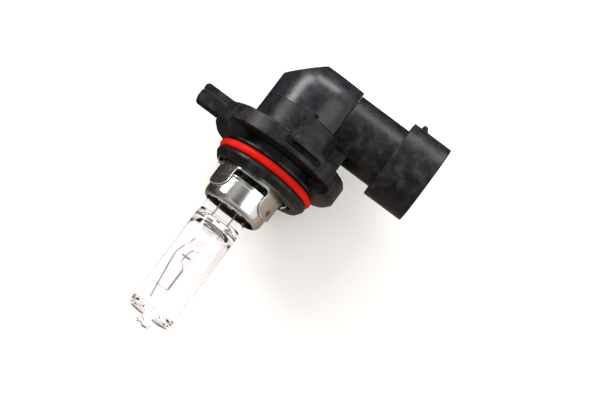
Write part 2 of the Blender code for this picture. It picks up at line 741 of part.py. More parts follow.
def base_cutters():
    """What is taken out of the base."""
    sleeve_bore = SLEEVE_RADIUS + SHEET_GAP
    holder = (0, HOLDER_OFFSET, 0)
    yield helper(
        "sleeve_bore", cylinder(SLEEVE_REAR - SHEET_GAP, BOSS_FRONT + 1 * MM, sleeve_bore, centre=holder)
    )
    yield helper("boss_bore", cylinder(NECK_SHELF - 1 * MM, BOSS_FRONT, BOSS_BORE))
    yield helper("neck_bore", cylinder(NECK_REAR - 1 * MM, NECK_SHELF, NECK_BORE))
    for side, word in ((-1, "far"), (1, "near")):
        inner = HOLDER_OFFSET + side * (SLEEVE_RADIUS - 1 * MM)
        outer = HOLDER_OFFSET + side * (SLEEVE_RADIUS + POCKET_REACH)
        pocket = box(
            (BOSS_FRONT - POCKET_DEPTH, min(inner, outer), -POCKET_WIDTH / 2),
            (BOSS_FRONT + 1 * MM, max(inner, outer), POCKET_WIDTH / 2),
        )
        yield helper(f"tab_pocket_{word}", pocket)
    yield helper(
        "barrel_bore",
        cylinder(
            BARREL_START - 1 * MM, SHROUD_START + 3 * MM, BARREL_BORE, "Y", (BARREL_AXIS, 0, 0)
        ),
    )
    wall = SHROUD_WALL
    mouth = oval((SHROUD_CENTRE, 0), SHROUD_WIDTH - 2 * wall, SHROUD_HEIGHT - 2 * wall)
    yield helper("shroud_mouth", prism(mouth, SHROUD_START + wall, SHROUD_END + 1 * MM, "XZ"))
    slot_front = DISC_FRONT - SLOT_LIP
    slot = [
        (slot_front, SLOT_REACH),
        (slot_front - SLOT_WIDTH, SLOT_REACH),
        (slot_front - SLOT_WIDTH, SLOT_LEG_HALF_WIDTH),
        (DISC_REAR - 0.5 * MM, SLOT_LEG_HALF_WIDTH),
        (DISC_REAR - 0.5 * MM, -SLOT_LEG_HALF_WIDTH),
        (slot_front, -SLOT_LEG_HALF_WIDTH),
    ]
    yield helper("disc_slot", prism(slot, DISC_RADIUS - SLOT_DEPTH, DISC_RADIUS + 2 * MM))


def make_base(material):
    base = add_object("base_housing", turned(base_outline()), material)
    join(base, *base_shapes())
    cut(base, *base_cutters())
    return base


def cap_body(radius, rear, front, end_height, steps=48):
    """A round body that flattens towards its rear, where its height is end_height of its radius."""
    flatten_from = BARREL_AXIS
    reach = flatten_from - rear
    semi = reach / math.sqrt(1 - end_height**2)
    stations = [(front, 1.0)]
    for i in range(11):
        along = reach * math.sin(math.radians(90 * i / 10))
        stations.append((flatten_from - along, math.sqrt(1 - (along / semi) ** 2)))
    bm = bmesh.new()
    rings = []
    for x, flat in stations:
        ring = []
        for i in range(steps):
            angle = math.tau * i / steps
            ring.append(bm.verts.new((x, radius * math.sin(angle), radius * flat * math.cos(angle))))
        rings.append(ring)
    for ring, following in zip(rings, rings[1:]):
        for i in range(steps):
            j = (i + 1) % steps
            bm.faces.new((ring[i], ring[j], following[j], following[i]))
    bm.faces.new(rings[0])
    bm.faces.new(rings[-1][::-1])
    return bm


def make_cap(material):
    front = NECK_REAR - CAP_SEAM
    side = BARREL_START - CAP_SEAM
    cap = add_object("elbow_cap", cap_body(NECK_RADIUS, CAP_REAR, front, CAP_END_HEIGHT), material)
    hollow = cap_body(NECK_RADIUS - CAP_WALL, CAP_REAR + CAP_WALL, front + 1 * MM, CAP_END_HEIGHT)
    far = NECK_RADIUS + 1 * MM
    past_seam = box((CAP_REAR - 1 * MM, side, -far), (front + 1 * MM, far, far))
    corner = [
        (CAP_REAR - 1 * MM, -far),
        (CAP_REAR + CAP_CHAMFER - 0.2 * MM, -far),
        (CAP_REAR - 1 * MM, -NECK_RADIUS + CAP_CHAMFER + 1 * MM),
    ]
    chamfer = prism(corner, -far, far)
    inner_corner = [(x + CAP_WALL * 0.7, y + CAP_WALL * 0.7) for x, y in corner]
    hollow = helper("cap_hollow", hollow)
    cut(hollow, helper("inner_chamfer", prism(inner_corner, -far - 1 * MM, far + 1 * MM)))
    cut(cap, helper("past_seam", past_seam), helper("cap_chamfer", chamfer), hollow)
    return cap


# ---- Terminals, carrier and seal -------------------------------------------------------------------


def blade_place(side):
    """A blade's place along the bulb axis. Side -1 is the rear one, which meets the long lead."""
    return BARREL_AXIS + side * BLADE_PITCH / 2


def make_terminals(material):
    half = BLADE_WIDTH / 2
    for side, word in ((-1, "long"), (1, "short")):
        x, leg = blade_place(side), terminal_leg_place(side)
        outline = [
            (x - half, BLADE_END - BLADE_CHAMFER),
            (x - half, leg - half),
            (TERMINAL_LEG_END, leg - half * 0.6),
            (TERMINAL_LEG_END, leg + half * 0.6),
            (x + half, leg + half),
            (x + half, BLADE_END - BLADE_CHAMFER),
            (x + half - BLADE_CHAMFER, BLADE_END),
            (x - half + BLADE_CHAMFER, BLADE_END),
        ]
        blade = prism(outline, -BLADE_THICKNESS / 2, BLADE_THICKNESS / 2)
        add_object(f"terminal_{word}", blade, material)


def make_carrier(material):
    start = BARREL_START + GAP
    body = cylinder(
        start, CARRIER_END, BARREL_BORE - GAP, "Y", (BARREL_AXIS, 0, 0), steps=40
    )
    carrier = add_object("terminal_carrier", body, material)
    half_width = BLADE_WIDTH / 2 + BLADE_CLEARANCE
    half_height = BLADE_THICKNESS / 2 + BLADE_CLEARANCE
    for side, word in ((-1, "long"), (1, "short")):
        x = blade_place(side)
        slot = box(
            (x - half_width, start - 1 * MM, -half_height),
            (x + half_width, CARRIER_END + 1 * MM, half_height),
        )
        cut(carrier, helper(f"carrier_slot_{word}", slot))


def make_seal(material):
    front = NECK_SHELF - GAP
    seal = add_object(
        "silicone_seal",
        cylinder(front - SEAL_LENGTH, front, NECK_BORE - GAP, steps=48),
        material,
    )
    weld_height = BLADE_THICKNESS / 2 + OUTER_LEAD_RADIUS + WIRE_CLEARANCE
    for side, word in ((-1, "long"), (1, "short")):
        bore = cylinder(
            front - SEAL_LENGTH - GAP,
            front + GAP,
            OUTER_LEAD_RADIUS + WIRE_CLEARANCE,
            centre=(0, terminal_leg_place(side), weld_height),
            steps=12,
        )
        cut(seal, helper(f"seal_bore_{word}", bore))


def main():
    clear_scene()
    glass = finish("clear_glass", (0.96, 0.95, 0.96), 0.02, transmission=1.0)
    tungsten = finish("tungsten", (0.22, 0.21, 0.21), 0.45, 1.0)
    molybdenum = finish("molybdenum", (0.42, 0.41, 0.40), 0.35, 1.0)
    steel = finish("bright_steel", (0.78, 0.75, 0.70), 0.18, 1.0)
    black = finish("base_plastic", (0.035, 0.034, 0.036), 0.6)
    smooth_black = finish("cap_plastic", (0.045, 0.046, 0.055), 0.35)
    rubber = finish("red_silicone", (0.72, 0.035, 0.02), 0.38)
    tin = finish("tinned_brass", (0.70, 0.68, 0.63), 0.3, 1.0)
    clear_silicone = finish("white_silicone", (0.78, 0.76, 0.70), 0.5)
    fibre = finish("glass_fibre", (0.86, 0.84, 0.76), 0.8)
    make_glass(glass)
    make_bridge(glass)
    make_foils(molybdenum)
    make_support_leads(molybdenum)
    make_filament(tungsten)
    make_weld_strip(molybdenum)
    make_outer_leads(tin)
    make_wire_sleeves(fibre)
    make_sleeve(steel)
    make_cup(steel)
    make_clamp(steel)
    make_ring(rubber)
    make_base(black)
    make_cap(smooth_black)
    make_terminals(tin)
    make_carrier(black)
    make_seal(clear_silicone)


main()
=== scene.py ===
"""A right-angle halogen headlight bulb, built piece by piece and dressed for a studio picture.

The bulb axis is X, with the glass tip towards +X. The connector opens towards +Y, and +Z is up.
"""

import math

import bmesh
import bpy
from bpy.props import FloatProperty, FloatVectorProperty, IntProperty, PointerProperty
from bpy.types import Operator, Panel, PropertyGroup
from mathutils import Matrix, Vector, noise


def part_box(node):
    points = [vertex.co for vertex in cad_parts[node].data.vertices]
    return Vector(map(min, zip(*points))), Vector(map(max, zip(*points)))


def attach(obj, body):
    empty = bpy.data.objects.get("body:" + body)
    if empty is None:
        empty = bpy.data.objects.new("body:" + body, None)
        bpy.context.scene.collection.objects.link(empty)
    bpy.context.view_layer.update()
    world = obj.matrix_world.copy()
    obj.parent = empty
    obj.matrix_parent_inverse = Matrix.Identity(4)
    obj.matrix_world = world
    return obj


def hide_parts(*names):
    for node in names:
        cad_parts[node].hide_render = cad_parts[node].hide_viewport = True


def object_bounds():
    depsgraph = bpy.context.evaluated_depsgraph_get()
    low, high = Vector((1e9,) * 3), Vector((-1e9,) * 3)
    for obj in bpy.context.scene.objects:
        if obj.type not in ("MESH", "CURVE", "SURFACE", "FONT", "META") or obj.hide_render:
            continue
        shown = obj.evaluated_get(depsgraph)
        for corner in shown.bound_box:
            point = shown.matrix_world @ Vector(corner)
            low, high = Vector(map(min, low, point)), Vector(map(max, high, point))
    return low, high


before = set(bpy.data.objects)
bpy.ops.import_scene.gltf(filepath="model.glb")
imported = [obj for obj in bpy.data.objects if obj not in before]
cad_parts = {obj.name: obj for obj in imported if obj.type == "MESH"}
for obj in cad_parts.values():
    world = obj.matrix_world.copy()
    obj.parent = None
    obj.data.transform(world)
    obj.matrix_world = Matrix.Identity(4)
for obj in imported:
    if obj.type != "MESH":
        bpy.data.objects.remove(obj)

bl_info = {
    "name": "Headlight Bulb",
    "version": (1, 0, 0),
    "blender": (4, 5, 0),
    "location": "3D Viewport > Sidebar > Bulb",
    "description": "Builds a right-angle halogen headlight bulb and its studio",
    "category": "Object",
}

MM = 0.001
BODY = "root"
CAD_BOX = [list(corner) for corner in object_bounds()]

# Places that the frame gives.
GLASS_LOW, GLASS_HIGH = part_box("glass_envelope")
CUP_LOW, CUP_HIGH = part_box("capsule_cup")
SLEEVE_LOW, SLEEVE_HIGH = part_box("mounting_sleeve")
RING_LOW, RING_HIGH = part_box("o_ring")
BASE_LOW, BASE_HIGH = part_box("base_housing")
CAP_LOW, CAP_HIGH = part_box("elbow_cap")
CARRIER_LOW, CARRIER_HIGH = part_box("terminal_carrier")
BRIDGE_LOW, BRIDGE_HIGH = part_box("glass_bridge")
CAPSULE_AXIS = (GLASS_LOW.y + GLASS_HIGH.y) / 2
HOLDER_AXIS = (CUP_LOW.y + CUP_HIGH.y) / 2
GLASS_RADIUS = (GLASS_HIGH.z - GLASS_LOW.z) / 2
CUP_RADIUS = (CUP_HIGH.z - CUP_LOW.z) / 2
SLEEVE_RADIUS = (SLEEVE_HIGH.z - SLEEVE_LOW.z) / 2

# Glass capsule.
PINCH_REAR = GLASS_LOW.x
PINCH_HALF_WIDTH = GLASS_RADIUS - 0.3 * MM
PINCH_HALF_THICKNESS = 2.2 * MM
PINCH_SQUARENESS = 7.0
PINCH_EDGE = 0.6 * MM
PINCH_FRONT = 14.4 * MM
GLASS_SHOULDER = 16.7 * MM
GLASS_END = 45.1 * MM
GLASS_END_ROUND = 0.8 * MM
CAVITY_FRONT = 18.2 * MM

# Foils and wires.
LEAD_SPREAD = 2.3 * MM
LEAD_RADIUS = 0.24 * MM
FOIL_FRONT = 12.4 * MM
LONG_LEAD_BEND = 28.5 * MM
LONG_LEAD_END = 41.0 * MM
LONG_LEAD_REACH = 4.2 * MM
LONG_LEAD_END_REACH = 2.4 * MM
SHORT_LEAD_END = 29.4 * MM
SHORT_LEAD_REACH = 1.5 * MM
COIL_START = 31.2 * MM
COIL_LENGTH = 6.0 * MM
COIL_WIRE_RADIUS = 0.075 * MM
LEG_REACH = 4.5 * MM

# Sheet-metal holder.
SHEET = 0.45 * MM
SHEET_GAP = 0.2 * MM
WINDOW_FLOOR = 4.1 * MM
WINDOW_SPAN = 68
TONGUE_END = SLEEVE_HIGH.x
CUP_REAR = CUP_LOW.x
CUP_FRONT = CUP_HIGH.x
CUP_MOUTH_RADIUS = CUP_RADIUS - 1.2 * MM
CUP_SHOULDER = 2.0 * MM
WELD_PLACE = 8.3 * MM
DIMPLE_DEPTH = 0.2 * MM
CLAMP_FRONT = 11.6 * MM
CLAMP_WALL = 0.4 * MM
FINGER_HALF_WIDTH = 0.8 * MM
TAB_THICKNESS = 0.3 * MM
TAB_HALF_WIDTH = 0.9 * MM
TONGUES = [math.radians(60 + 120 * k) for k in range(3)]

# Moulded base.
BOSS_FRONT = 3.6 * MM
BOSS_FACE_RADIUS = 12.0 * MM
BOSS_RADIUS = 13.0 * MM
BOSS_CHAMFER_REAR = 2.2 * MM
BOSS_REAR = -2.1 * MM
BOSS_BORE = 7.45 * MM
POCKET_DEPTH = 2.6 * MM
POCKET_HALF_WIDTH = 1.8 * MM
FLASH_HEIGHT = 0.02 * MM
GROOVE_HALF_WIDTH = 1.35 * MM
GROOVE_RADIUS = 11.05 * MM
WAIST_RADIUS = 9.8 * MM
DISC_RADIUS = 17.2 * MM
DISC_FRONT = -4.5 * MM
DISC_REAR = -8.9 * MM
LUG_FRONT = -1.5 * MM
LUG_RADIUS = 17.6 * MM
LUGS = [(90, 64), (-90, 64), (180, 40)]
KEY_REACH = 24.6 * MM
KEY_END_ROUND = 1.1 * MM
KEY_STEPS = [(-4.3 * MM, -7.75 * MM, 2.6 * MM), (-7.35 * MM, -9.7 * MM, 1.8 * MM)]
SLOT_DEPTH = 3.4 * MM
SLOT_WIDTH = 1.8 * MM
SLOT_FAR_END = 9.5 * MM
NECK_RADIUS = 11.2 * MM
NECK_REAR = -16.1 * MM
NECK_BORE = 9.2 * MM
NECK_SHELF = -8.6 * MM
BARREL_AXIS = -21.5 * MM
BARREL_RADIUS = 8.4 * MM
BARREL_BORE = 6.2 * MM
BARREL_START = 7.8 * MM
PIN_MARK_WIDTH = 0.15 * MM
PIN_MARK_DEPTH = 0.3 * MM
SHROUD_START = 22.1 * MM
SHROUD_END = BASE_HIGH.y
SHROUD_CENTRE = -21.65 * MM
SHROUD_WIDTH = 21.3 * MM
SHROUD_HEIGHT = 17.8 * MM
SHROUD_WALL = 1.6 * MM
GUSSET_END = 13.5 * MM
GUSSET_HALF_HEIGHT = 4.5 * MM
LOCK_START = 24.0 * MM
LOCK_RISE = 1.0 * MM
LOCK_HALF_WIDTH = 2.1 * MM
CAP_REAR = CAP_LOW.x
CAP_WALL = 1.7 * MM
CAP_CHAMFER = 7.4 * MM
CAP_CHAMFER_DRAFT = 0.194
CAP_END_HEIGHT = 0.3
SEAM = 0.06 * MM

# Terminals.
BLADE_HALF_WIDTH = 1.4 * MM
BLADE_CHAMFER = 0.6 * MM

# Mesh and finish quality.
ROUND_STEPS = 192
OVERSHOOT = 1 * MM
BEVEL_SAMPLES = 4
QUARTZ_INDEX = 1.458
DUST_COLOUR = (0.30, 0.28, 0.26)
BLOOM_COLOUR = (0.75, 0.42, 0.38)
RUBBED_METAL = (0.9, 0.88, 0.85)
# Painted shade for the faces inside the cup's bore.
PAINTED_BORE_SHADE = (0.07, 0.06, 0.055)
# Painted reflections of the table: dark on one side, warm beige on the other.
TABLE_PAINTED_DARK_REFLECTION = (0.02, 0.018, 0.018)
TABLE_PAINTED_WARM_REFLECTION = (0.30, 0.255, 0.215)
ROOM_COLOUR = (1.0, 0.985, 0.97)


# ---- Settings ----------------------------------------------------------------------------------


def length(name, description, default, low=0.0, high=0.1):
    return FloatProperty(
        name=name, description=description, default=default, min=low, max=high,
        unit="LENGTH", subtype="DISTANCE", precision=5,
    )


def strength(name, description, default):
    return FloatProperty(name=name, description=description, default=default, min=0.0)


def share(name, description, default):
    return FloatProperty(
        name=name, description=description, default=default, min=0.0, max=1.0, subtype="FACTOR"
    )


def paint(name, description, default):
    return FloatVectorProperty(
        name=name, description=description, default=default, min=0.0, max=1.0,
        size=3, subtype="COLOR",
    )


class GlassSettings(PropertyGroup):
    """What can be changed on the capsule."""

    wall: length("Wall", "Thickness of the glass tube", 1.25 * MM)
    tip_width: length("Tip width", "Half the width of the sealed tip", 1.95 * MM)
    tint: paint("Tint", "Colour of the glass", (0.95, 0.92, 0.93))
    ripple: length("Ripple", "How far the drawn tube strays from a true cylinder", 0.02 * MM)


class WireSettings(PropertyGroup):
    """What can be changed on the filament and the wires that hold it."""

    coil_radius: length("Coil radius", "Radius of the filament coil", 0.22 * MM)
    coil_turns: IntProperty(name="Coil turns", description="Turns of the coil", default=22, min=3)
    tungsten: paint("Tungsten", "Colour of the filament", (0.16, 0.15, 0.15))
    molybdenum: paint("Molybdenum", "Colour of the foils and the inner wires", (0.30, 0.29, 0.28))
    tin: paint("Tin", "Colour of the terminals and the outer wires", (0.70, 0.68, 0.64))


class HolderSettings(PropertyGroup):
    """What can be changed on the sheet-metal holder."""

    steel: paint("Steel", "Colour of the bright sheet", (0.80, 0.78, 0.75))
    heat_tint: paint("Heat tint", "Colour that welding leaves on the sheet", (0.11, 0.055, 0.025))
    polish: share("Roughness", "How matt the bright sheet is", 0.16)
    dimple: length("Dimple", "Radius of a weld dimple", 0.85 * MM)


class MouldingSettings(PropertyGroup):
    """What can be changed on the moulded base, the cap and the sealing ring."""

    base_plastic: paint("Base plastic", "Colour of the moulded base", (0.0065, 0.0056, 0.0058))
    cap_plastic: paint("Cap plastic", "Colour of the elbow cap", (0.008, 0.0085, 0.012))
    rubber: paint("Rubber", "Colour of the sealing ring", (0.50, 0.008, 0.004))
    edge: length("Edge", "Rounding of the moulded edges", 0.35 * MM)
    grain: share("Grain", "Depth of the spark-eroded mould texture", 0.5)


class StageSettings(PropertyGroup):
    """What can be changed on the studio."""

    key_power: strength("Key light", "Radiance of the large softbox", 14.0)
    fill: strength("Fill", "Brightness of the room above the table", 1.0)
    floor: paint("Table", "Colour of the table", (0.80, 0.79, 0.772))
    distance: length("Camera distance", "From the camera to the bulb", 0.6, 0.1, 5.0)


# ---- Mesh helpers --------------------------------------------------------------------------------


def rounded(corners, turn=12):
    """An outline from (a, b, fillet) corners, each turned by an arc of that radius."""
    outline = []
    for i, (a, b, fillet) in enumerate(corners):
        corner = Vector((a, b))
        before = Vector(corners[i - 1][:2]) - corner
        after = Vector(corners[(i + 1) % len(corners)][:2]) - corner
        if not fillet:
            outline.append(corner)
            continue
        half = before.angle(after) / 2
        reach = min(fillet / math.tan(half), before.length * 0.49, after.length * 0.49)
        radius = reach * math.tan(half)
        inward = (before.normalized() + after.normalized()).normalized()
        centre = corner + inward * (radius / math.sin(half))
        first = corner + before.normalized() * reach - centre
        last = corner + after.normalized() * reach - centre
        swing = first.angle_signed(last)
        steps = max(2, math.ceil(abs(math.degrees(swing)) / turn))
        for k in range(steps + 1):
            outline.append(centre + Matrix.Rotation(-swing * k / steps, 2) @ first)
    return outline


def inset(outline, distance):
    """The outline moved inwards. It runs either way round and has no repeated points."""
    points = [Vector(point) for point in outline]
    area = sum(a.x * b.y - b.x * a.y for a, b in zip(points, points[1:] + points[:1]))
    turn = 1 if area > 0 else -1
    moved = []
    for i, point in enumerate(points):
        before = (point - points[i - 1]).normalized()
        after = (points[(i + 1) % len(points)] - point).normalized()
        normal = Vector((-before.y - after.y, before.x + after.x)) * turn
        if normal.length < 1e-9:
            normal = Vector((-before.y, before.x)) * turn
        normal.normalize()
        lean = max(0.3, abs(normal.dot(Vector((-before.y, before.x)))))
        moved.append(point + normal * (distance / lean))
    return moved


def loft(rings, loop=False, merge=1e-7):
    """Skins a row of closed rings that all have the same number of points."""
    bm = bmesh.new()
    rows = [[bm.verts.new(point) for point in ring] for ring in rings]
    pairs = list(zip(rows, rows[1:]))
    if loop:
        pairs.append((rows[-1], rows[0]))
    count = len(rows[0])
    for row, following in pairs:
        for i in range(count):
            j = (i + 1) % count
            bm.faces.new((row[i], row[j], following[j], following[i]))
    if not loop:
        bm.faces.new(rows[0])
        bm.faces.new(rows[-1][::-1])
    bmesh.ops.remove_doubles(bm, verts=bm.verts, dist=merge)
    bmesh.ops.dissolve_degenerate(bm, edges=bm.edges, dist=merge)
    stray = [edge for edge in bm.edges if not edge.link_faces]
    bmesh.ops.delete(bm, geom=stray, context="EDGES")
    bmesh.ops.recalc_face_normals(bm, faces=bm.faces)
    return bm


def place_on(axis, along, radius, angle):
    """A point beside the X or Y axis. Angle 0 is +Z."""
    if axis == "X":
        return Vector((along, radius * math.sin(angle), radius * math.cos(angle)))
    return Vector((radius * math.sin(angle), along, radius * math.cos(angle)))


def lathe(outline, axis="X", centre=(0, 0, 0), steps=ROUND_STEPS):
    """Turns a closed outline of (distance along the axis, radius) points right round the axis.

    The first ring stands off the axis planes, so no edge lies on a flat face of a joined shape.
    """
    centre = Vector(centre)
    rings = []
    for k in range(steps):
        angle = math.tau * (k + 0.37) / steps
        rings.append([centre + place_on(axis, along, radius, angle) for along, radius in outline])
    return loft(rings, loop=True)


def sector(outline, middle, span, edge, steps=24):
    """Turns an outline through part of a turn about X, with rounded edges on the two end faces."""
    reach = max(radius for _, radius in outline)
    stations = []
    for k in range(4):
        lean = math.radians(90 * k / 3)
        stations.append((edge * (1 - math.cos(lean)) / reach, edge * (1 - math.sin(lean))))
    start, end = middle - span / 2, middle + span / 2
    places = [(start + turn, inward) for turn, inward in stations]
    inner = span - 2 * edge / reach
    places += [(start + edge / reach + inner * k / steps, 0.0) for k in range(1, steps)]
    places += [(end - turn, inward) for turn, inward in reversed(stations)]
    rings = []
    for angle, inward in places:
        rings.append([place_on("X", *point, angle) for point in narrowed(outline, inward)])
    return loft(rings)


def cylinder(start, end, radius, axis="X", centre=(0, 0, 0), steps=96, edge=0.0):
    corners = [(start, 0, 0), (end, 0, 0), (end, radius, edge), (start, radius, edge)]
    return lathe(rounded(corners), axis, centre, steps)


def flared(start, end, radius, flare, centre, steps):
    """A bore cutter whose end widens into a small chamfer at the face that it leaves through."""
    outline = [(start, 0), (end + flare, 0), (end + flare, radius + 2 * flare)]
    outline += [(end - flare, radius), (start, radius)]
    return lathe(outline, centre=centre, steps=steps)


def box(low, high, edge=0.0):
    bm = bmesh.new()
    bmesh.ops.create_cube(bm, size=1.0)
    low, high = Vector(low), Vector(high)
    middle, size = (low + high) / 2, high - low
    for vert in bm.verts:
        vert.co = Vector([vert.co[i] * size[i] + middle[i] for i in range(3)])
    if edge:
        bmesh.ops.bevel(bm, geom=bm.edges, offset=edge, segments=3, affect="EDGES", profile=0.5)
    return bm


def narrowed(outline, inward):
    return inset(outline, inward) if inward > 1e-9 else [Vector(point) for point in outline]


def prism(outline, low, high, plane="XY", edge=0.0, segments=3):
    """Extrudes a closed outline along Z, or Y for plane XZ, with its end edges rounded."""
    rows = []
    for k in range(segments + 1 if edge else 1):
        lean = math.radians(90 * k / segments)
        ring = narrowed(outline, edge * (1 - math.sin(lean)))
        rows.append((edge * (1 - math.cos(lean)), ring))
    levels = [(low + rise, ring) for rise, ring in rows]
    levels += [(high - rise, ring) for rise, ring in reversed(rows)]
    if plane == "XY":
        return loft([[Vector((a, b, level)) for a, b in ring] for level, ring in levels])
    return loft([[Vector((a, level, b)) for a, b in ring] for level, ring in levels])


def plate(low, high, fillet, turn=12):
    """A rectangle between two corners, with rounded corners."""
    corners = [(low[0], low[1]), (high[0], low[1]), (high[0], high[1]), (low[0], high[1])]
    return rounded([(*corner, fillet) for corner in corners], turn)


def superellipse(turn, squareness):
    """A point of a round outline between an ellipse, at squareness 2, and a rectangle."""
    c, s = math.cos(turn), math.sin(turn)
    power = 2 / squareness
    return math.copysign(abs(c) ** power, c), math.copysign(abs(s) ** power, s)


def oval(centre, width, height, steps=160):
    """The connector's nearly elliptical outline."""
    outline = []
    for k in range(steps):
        across, up = superellipse(math.tau * k / steps, 2.2)
        outline.append(Vector((centre + across * width / 2, up * height / 2)))
    return outline


def rounded_path(points, radius, steps=6):
    """The points joined by straight runs, with each inner corner turned smoothly."""
    points = [Vector(point) for point in points]
    path = [points[0]]
    for before, corner, after in zip(points, points[1:], points[2:]):
        reach = min(radius, (before - corner).length / 2, (after - corner).length / 2)
        a = corner + (before - corner).normalized() * reach
        b = corner + (after - corner).normalized() * reach
        for k in range(steps + 1):
            t = k / steps
            path.append(a * (1 - t) ** 2 + corner * (2 * t * (1 - t)) + b * t * t)
    path.append(points[-1])
    return [a for a, b in zip(path, path[1:]) if (a - b).length > 1e-7] + [path[-1]]


def tube(path, radii, sides=16):
    """A round wire along the path, with one radius or one for each point."""
    if isinstance(radii, float):
        radii = [radii] * len(path)
    across = None
    rings = []
    for i, point in enumerate(path):
        before, after = path[max(i - 1, 0)], path[min(i + 1, len(path) - 1)]
        heading = (after - before).normalized()
        if across is None:
            across = heading.orthogonal().normalized()
        across = (across - heading * across.dot(heading)).normalized()
        up = heading.cross(across)
        ring = []
        for k in range(sides):
            angle = math.tau * k / sides
            ring.append(point + (across * math.cos(angle) + up * math.sin(angle)) * radii[i])
        rings.append(ring)
    return loft(rings, merge=1e-9)


def add_object(name, bm):
    mesh = bpy.data.meshes.new(name)
    bm.to_mesh(mesh)
    bm.free()
    piece = bpy.data.objects.new(name, mesh)
    bpy.context.scene.collection.objects.link(piece)
    return piece


def settle(piece):
    """Replaces the piece's mesh with what its modifiers make of it."""
    bpy.context.view_layer.update()
    graph = bpy.context.evaluated_depsgraph_get()
    made = bpy.data.meshes.new_from_object(piece.evaluated_get(graph), depsgraph=graph)
    old = piece.data
    piece.modifiers.clear()
    piece.data = made
    bpy.data.meshes.remove(old)
    made.name = piece.name
    return piece


def combine(piece, operation, helpers):
    """Joins the helpers to the piece or cuts them out of it, and removes them."""
    for helper in helpers:
        modifier = piece.modifiers.new(helper.name, "BOOLEAN")
        modifier.operation = operation
        modifier.solver = "EXACT"
        modifier.object = helper
    settle(piece)
    for helper in helpers:
        mesh = helper.data
        bpy.data.objects.remove(helper)
        bpy.data.meshes.remove(mesh)
    return piece


def join(piece, *tools):
    return combine(piece, "UNION", [add_object(f"{piece.name}_tool", bm) for bm in tools])


def cut(piece, *tools):
    return combine(piece, "DIFFERENCE", [add_object(f"{piece.name}_tool", bm) for bm in tools])


def complete(piece, material, node, sharp=32):
    """Shades the piece, gives it its finish, hangs it on the body and hides the frame's node that it
    stands for.
    """
    mesh = piece.data
    mesh.materials.clear()
    mesh.materials.append(material)
    mesh.shade_smooth()
    mesh.set_sharp_from_angle(angle=math.radians(sharp))
    even = piece.modifiers.new("even_normals", "WEIGHTED_NORMAL")
    even.keep_sharp = True
    settle(piece)
    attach(piece, BODY)
    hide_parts(node)
    return piece


def need(condition, message):
    if not condition:
        raise RuntimeError(message)


# ---- Finishes ------------------------------------------------------------------------------------


def add_node(tree, kind, inputs=None, **settings):
    """A node with its settings, and its inputs linked where a socket is given."""
    made = tree.nodes.new(kind)
    for key, value in settings.items():
        setattr(made, key, value)
    for key, value in (inputs or {}).items():
        if isinstance(value, bpy.types.NodeSocket):
            tree.links.new(value, made.inputs[key])
        else:
            made.inputs[key].default_value = value
    return made


def calculate(tree, operation, *values, clamp=False):
    inputs = dict(enumerate(values))
    return add_node(tree, "ShaderNodeMath", inputs, operation=operation, use_clamp=clamp).outputs[0]


def remap(tree, value, low, high, to_low=0.0, to_high=1.0):
    inputs = {0: value, 1: low, 2: high, 3: to_low, 4: to_high}
    return add_node(tree, "ShaderNodeMapRange", inputs).outputs[0]


def blend_colours(tree, factor, first, second):
    inputs = {0: factor, 6: first, 7: second}
    return add_node(tree, "ShaderNodeMix", inputs, data_type="RGBA").outputs[2]


def tone(colour, level=1.0):
    """The colour at a share of its strength, as a shader takes it."""
    return (*(part * level for part in colour), 1.0)


def vector(tree, operation, *values):
    made = add_node(tree, "ShaderNodeVectorMath", dict(enumerate(values)), operation=operation)
    return made.outputs["Value" if operation in ("DOT_PRODUCT", "DISTANCE") else "Vector"]


def object_place(tree):
    return add_node(tree, "ShaderNodeTexCoord").outputs["Object"]


def noise_value(tree, scale, place=None, detail=3.0, roughness=0.55):
    inputs = {"Vector": place or object_place(tree), "Scale": scale, "Detail": detail}
    inputs["Roughness"] = roughness
    return add_node(tree, "ShaderNodeTexNoise", inputs).outputs["Fac"]


def soft_normal(tree, radius):
    """The surface's direction, with edges rounded by the radius."""
    return add_node(tree, "ShaderNodeBevel", {"Radius": radius}, samples=BEVEL_SAMPLES).outputs[0]


def new_group(name, inputs, outputs):
    """A node group with float inputs (name, default) and outputs (name, kind)."""
    tree = bpy.data.node_groups.new(name, "ShaderNodeTree")
    for label, default in inputs:
        socket = tree.interface.new_socket(label, in_out="INPUT", socket_type="NodeSocketFloat")
        socket.default_value = default
    for label, kind in outputs:
        tree.interface.new_socket(label, in_out="OUTPUT", socket_type=f"NodeSocket{kind}")
    return tree, tree.nodes.new("NodeGroupInput").outputs, tree.nodes.new("NodeGroupOutput").inputs


def use_group(tree, name, **values):
    made = tree.nodes.new("ShaderNodeGroup")
    made.node_tree = bpy.data.node_groups[name]
    for label, value in values.items():
        made.inputs[label.replace("_", " ")].default_value = value
    return made.outputs


def make_mould_texture():
    """The fine spark-eroded texture that a steel mould leaves on plastic, with slow flow marks."""
    tree, given, result = new_group(
        "mould_texture",
        [("Grain size", 0.00016), ("Flow size", 0.0032)],
        [("Height", "Float"), ("Flow", "Float"), ("Gloss", "Float")],
    )
    scale = calculate(tree, "DIVIDE", 1.0, given["Grain size"])
    grain = noise_value(tree, scale, detail=4.0, roughness=0.65)
    inputs = {"Vector": object_place(tree), "Scale": scale}
    pits = add_node(tree, "ShaderNodeTexVoronoi", inputs).outputs["Distance"]
    flow = noise_value(tree, calculate(tree, "DIVIDE", 1.0, given["Flow size"]), detail=5.0)
    height = calculate(tree, "MULTIPLY_ADD", pits, -0.35, grain)
    slow = calculate(tree, "MULTIPLY_ADD", flow, 6.0, height)
    tree.links.new(slow, result["Height"])
    tree.links.new(remap(tree, flow, 0.32, 0.68), result["Flow"])
    gloss = calculate(tree, "MULTIPLY_ADD", grain, 0.5, calculate(tree, "MULTIPLY", flow, 0.5))
    tree.links.new(remap(tree, gloss, 0.38, 0.62), result["Gloss"])


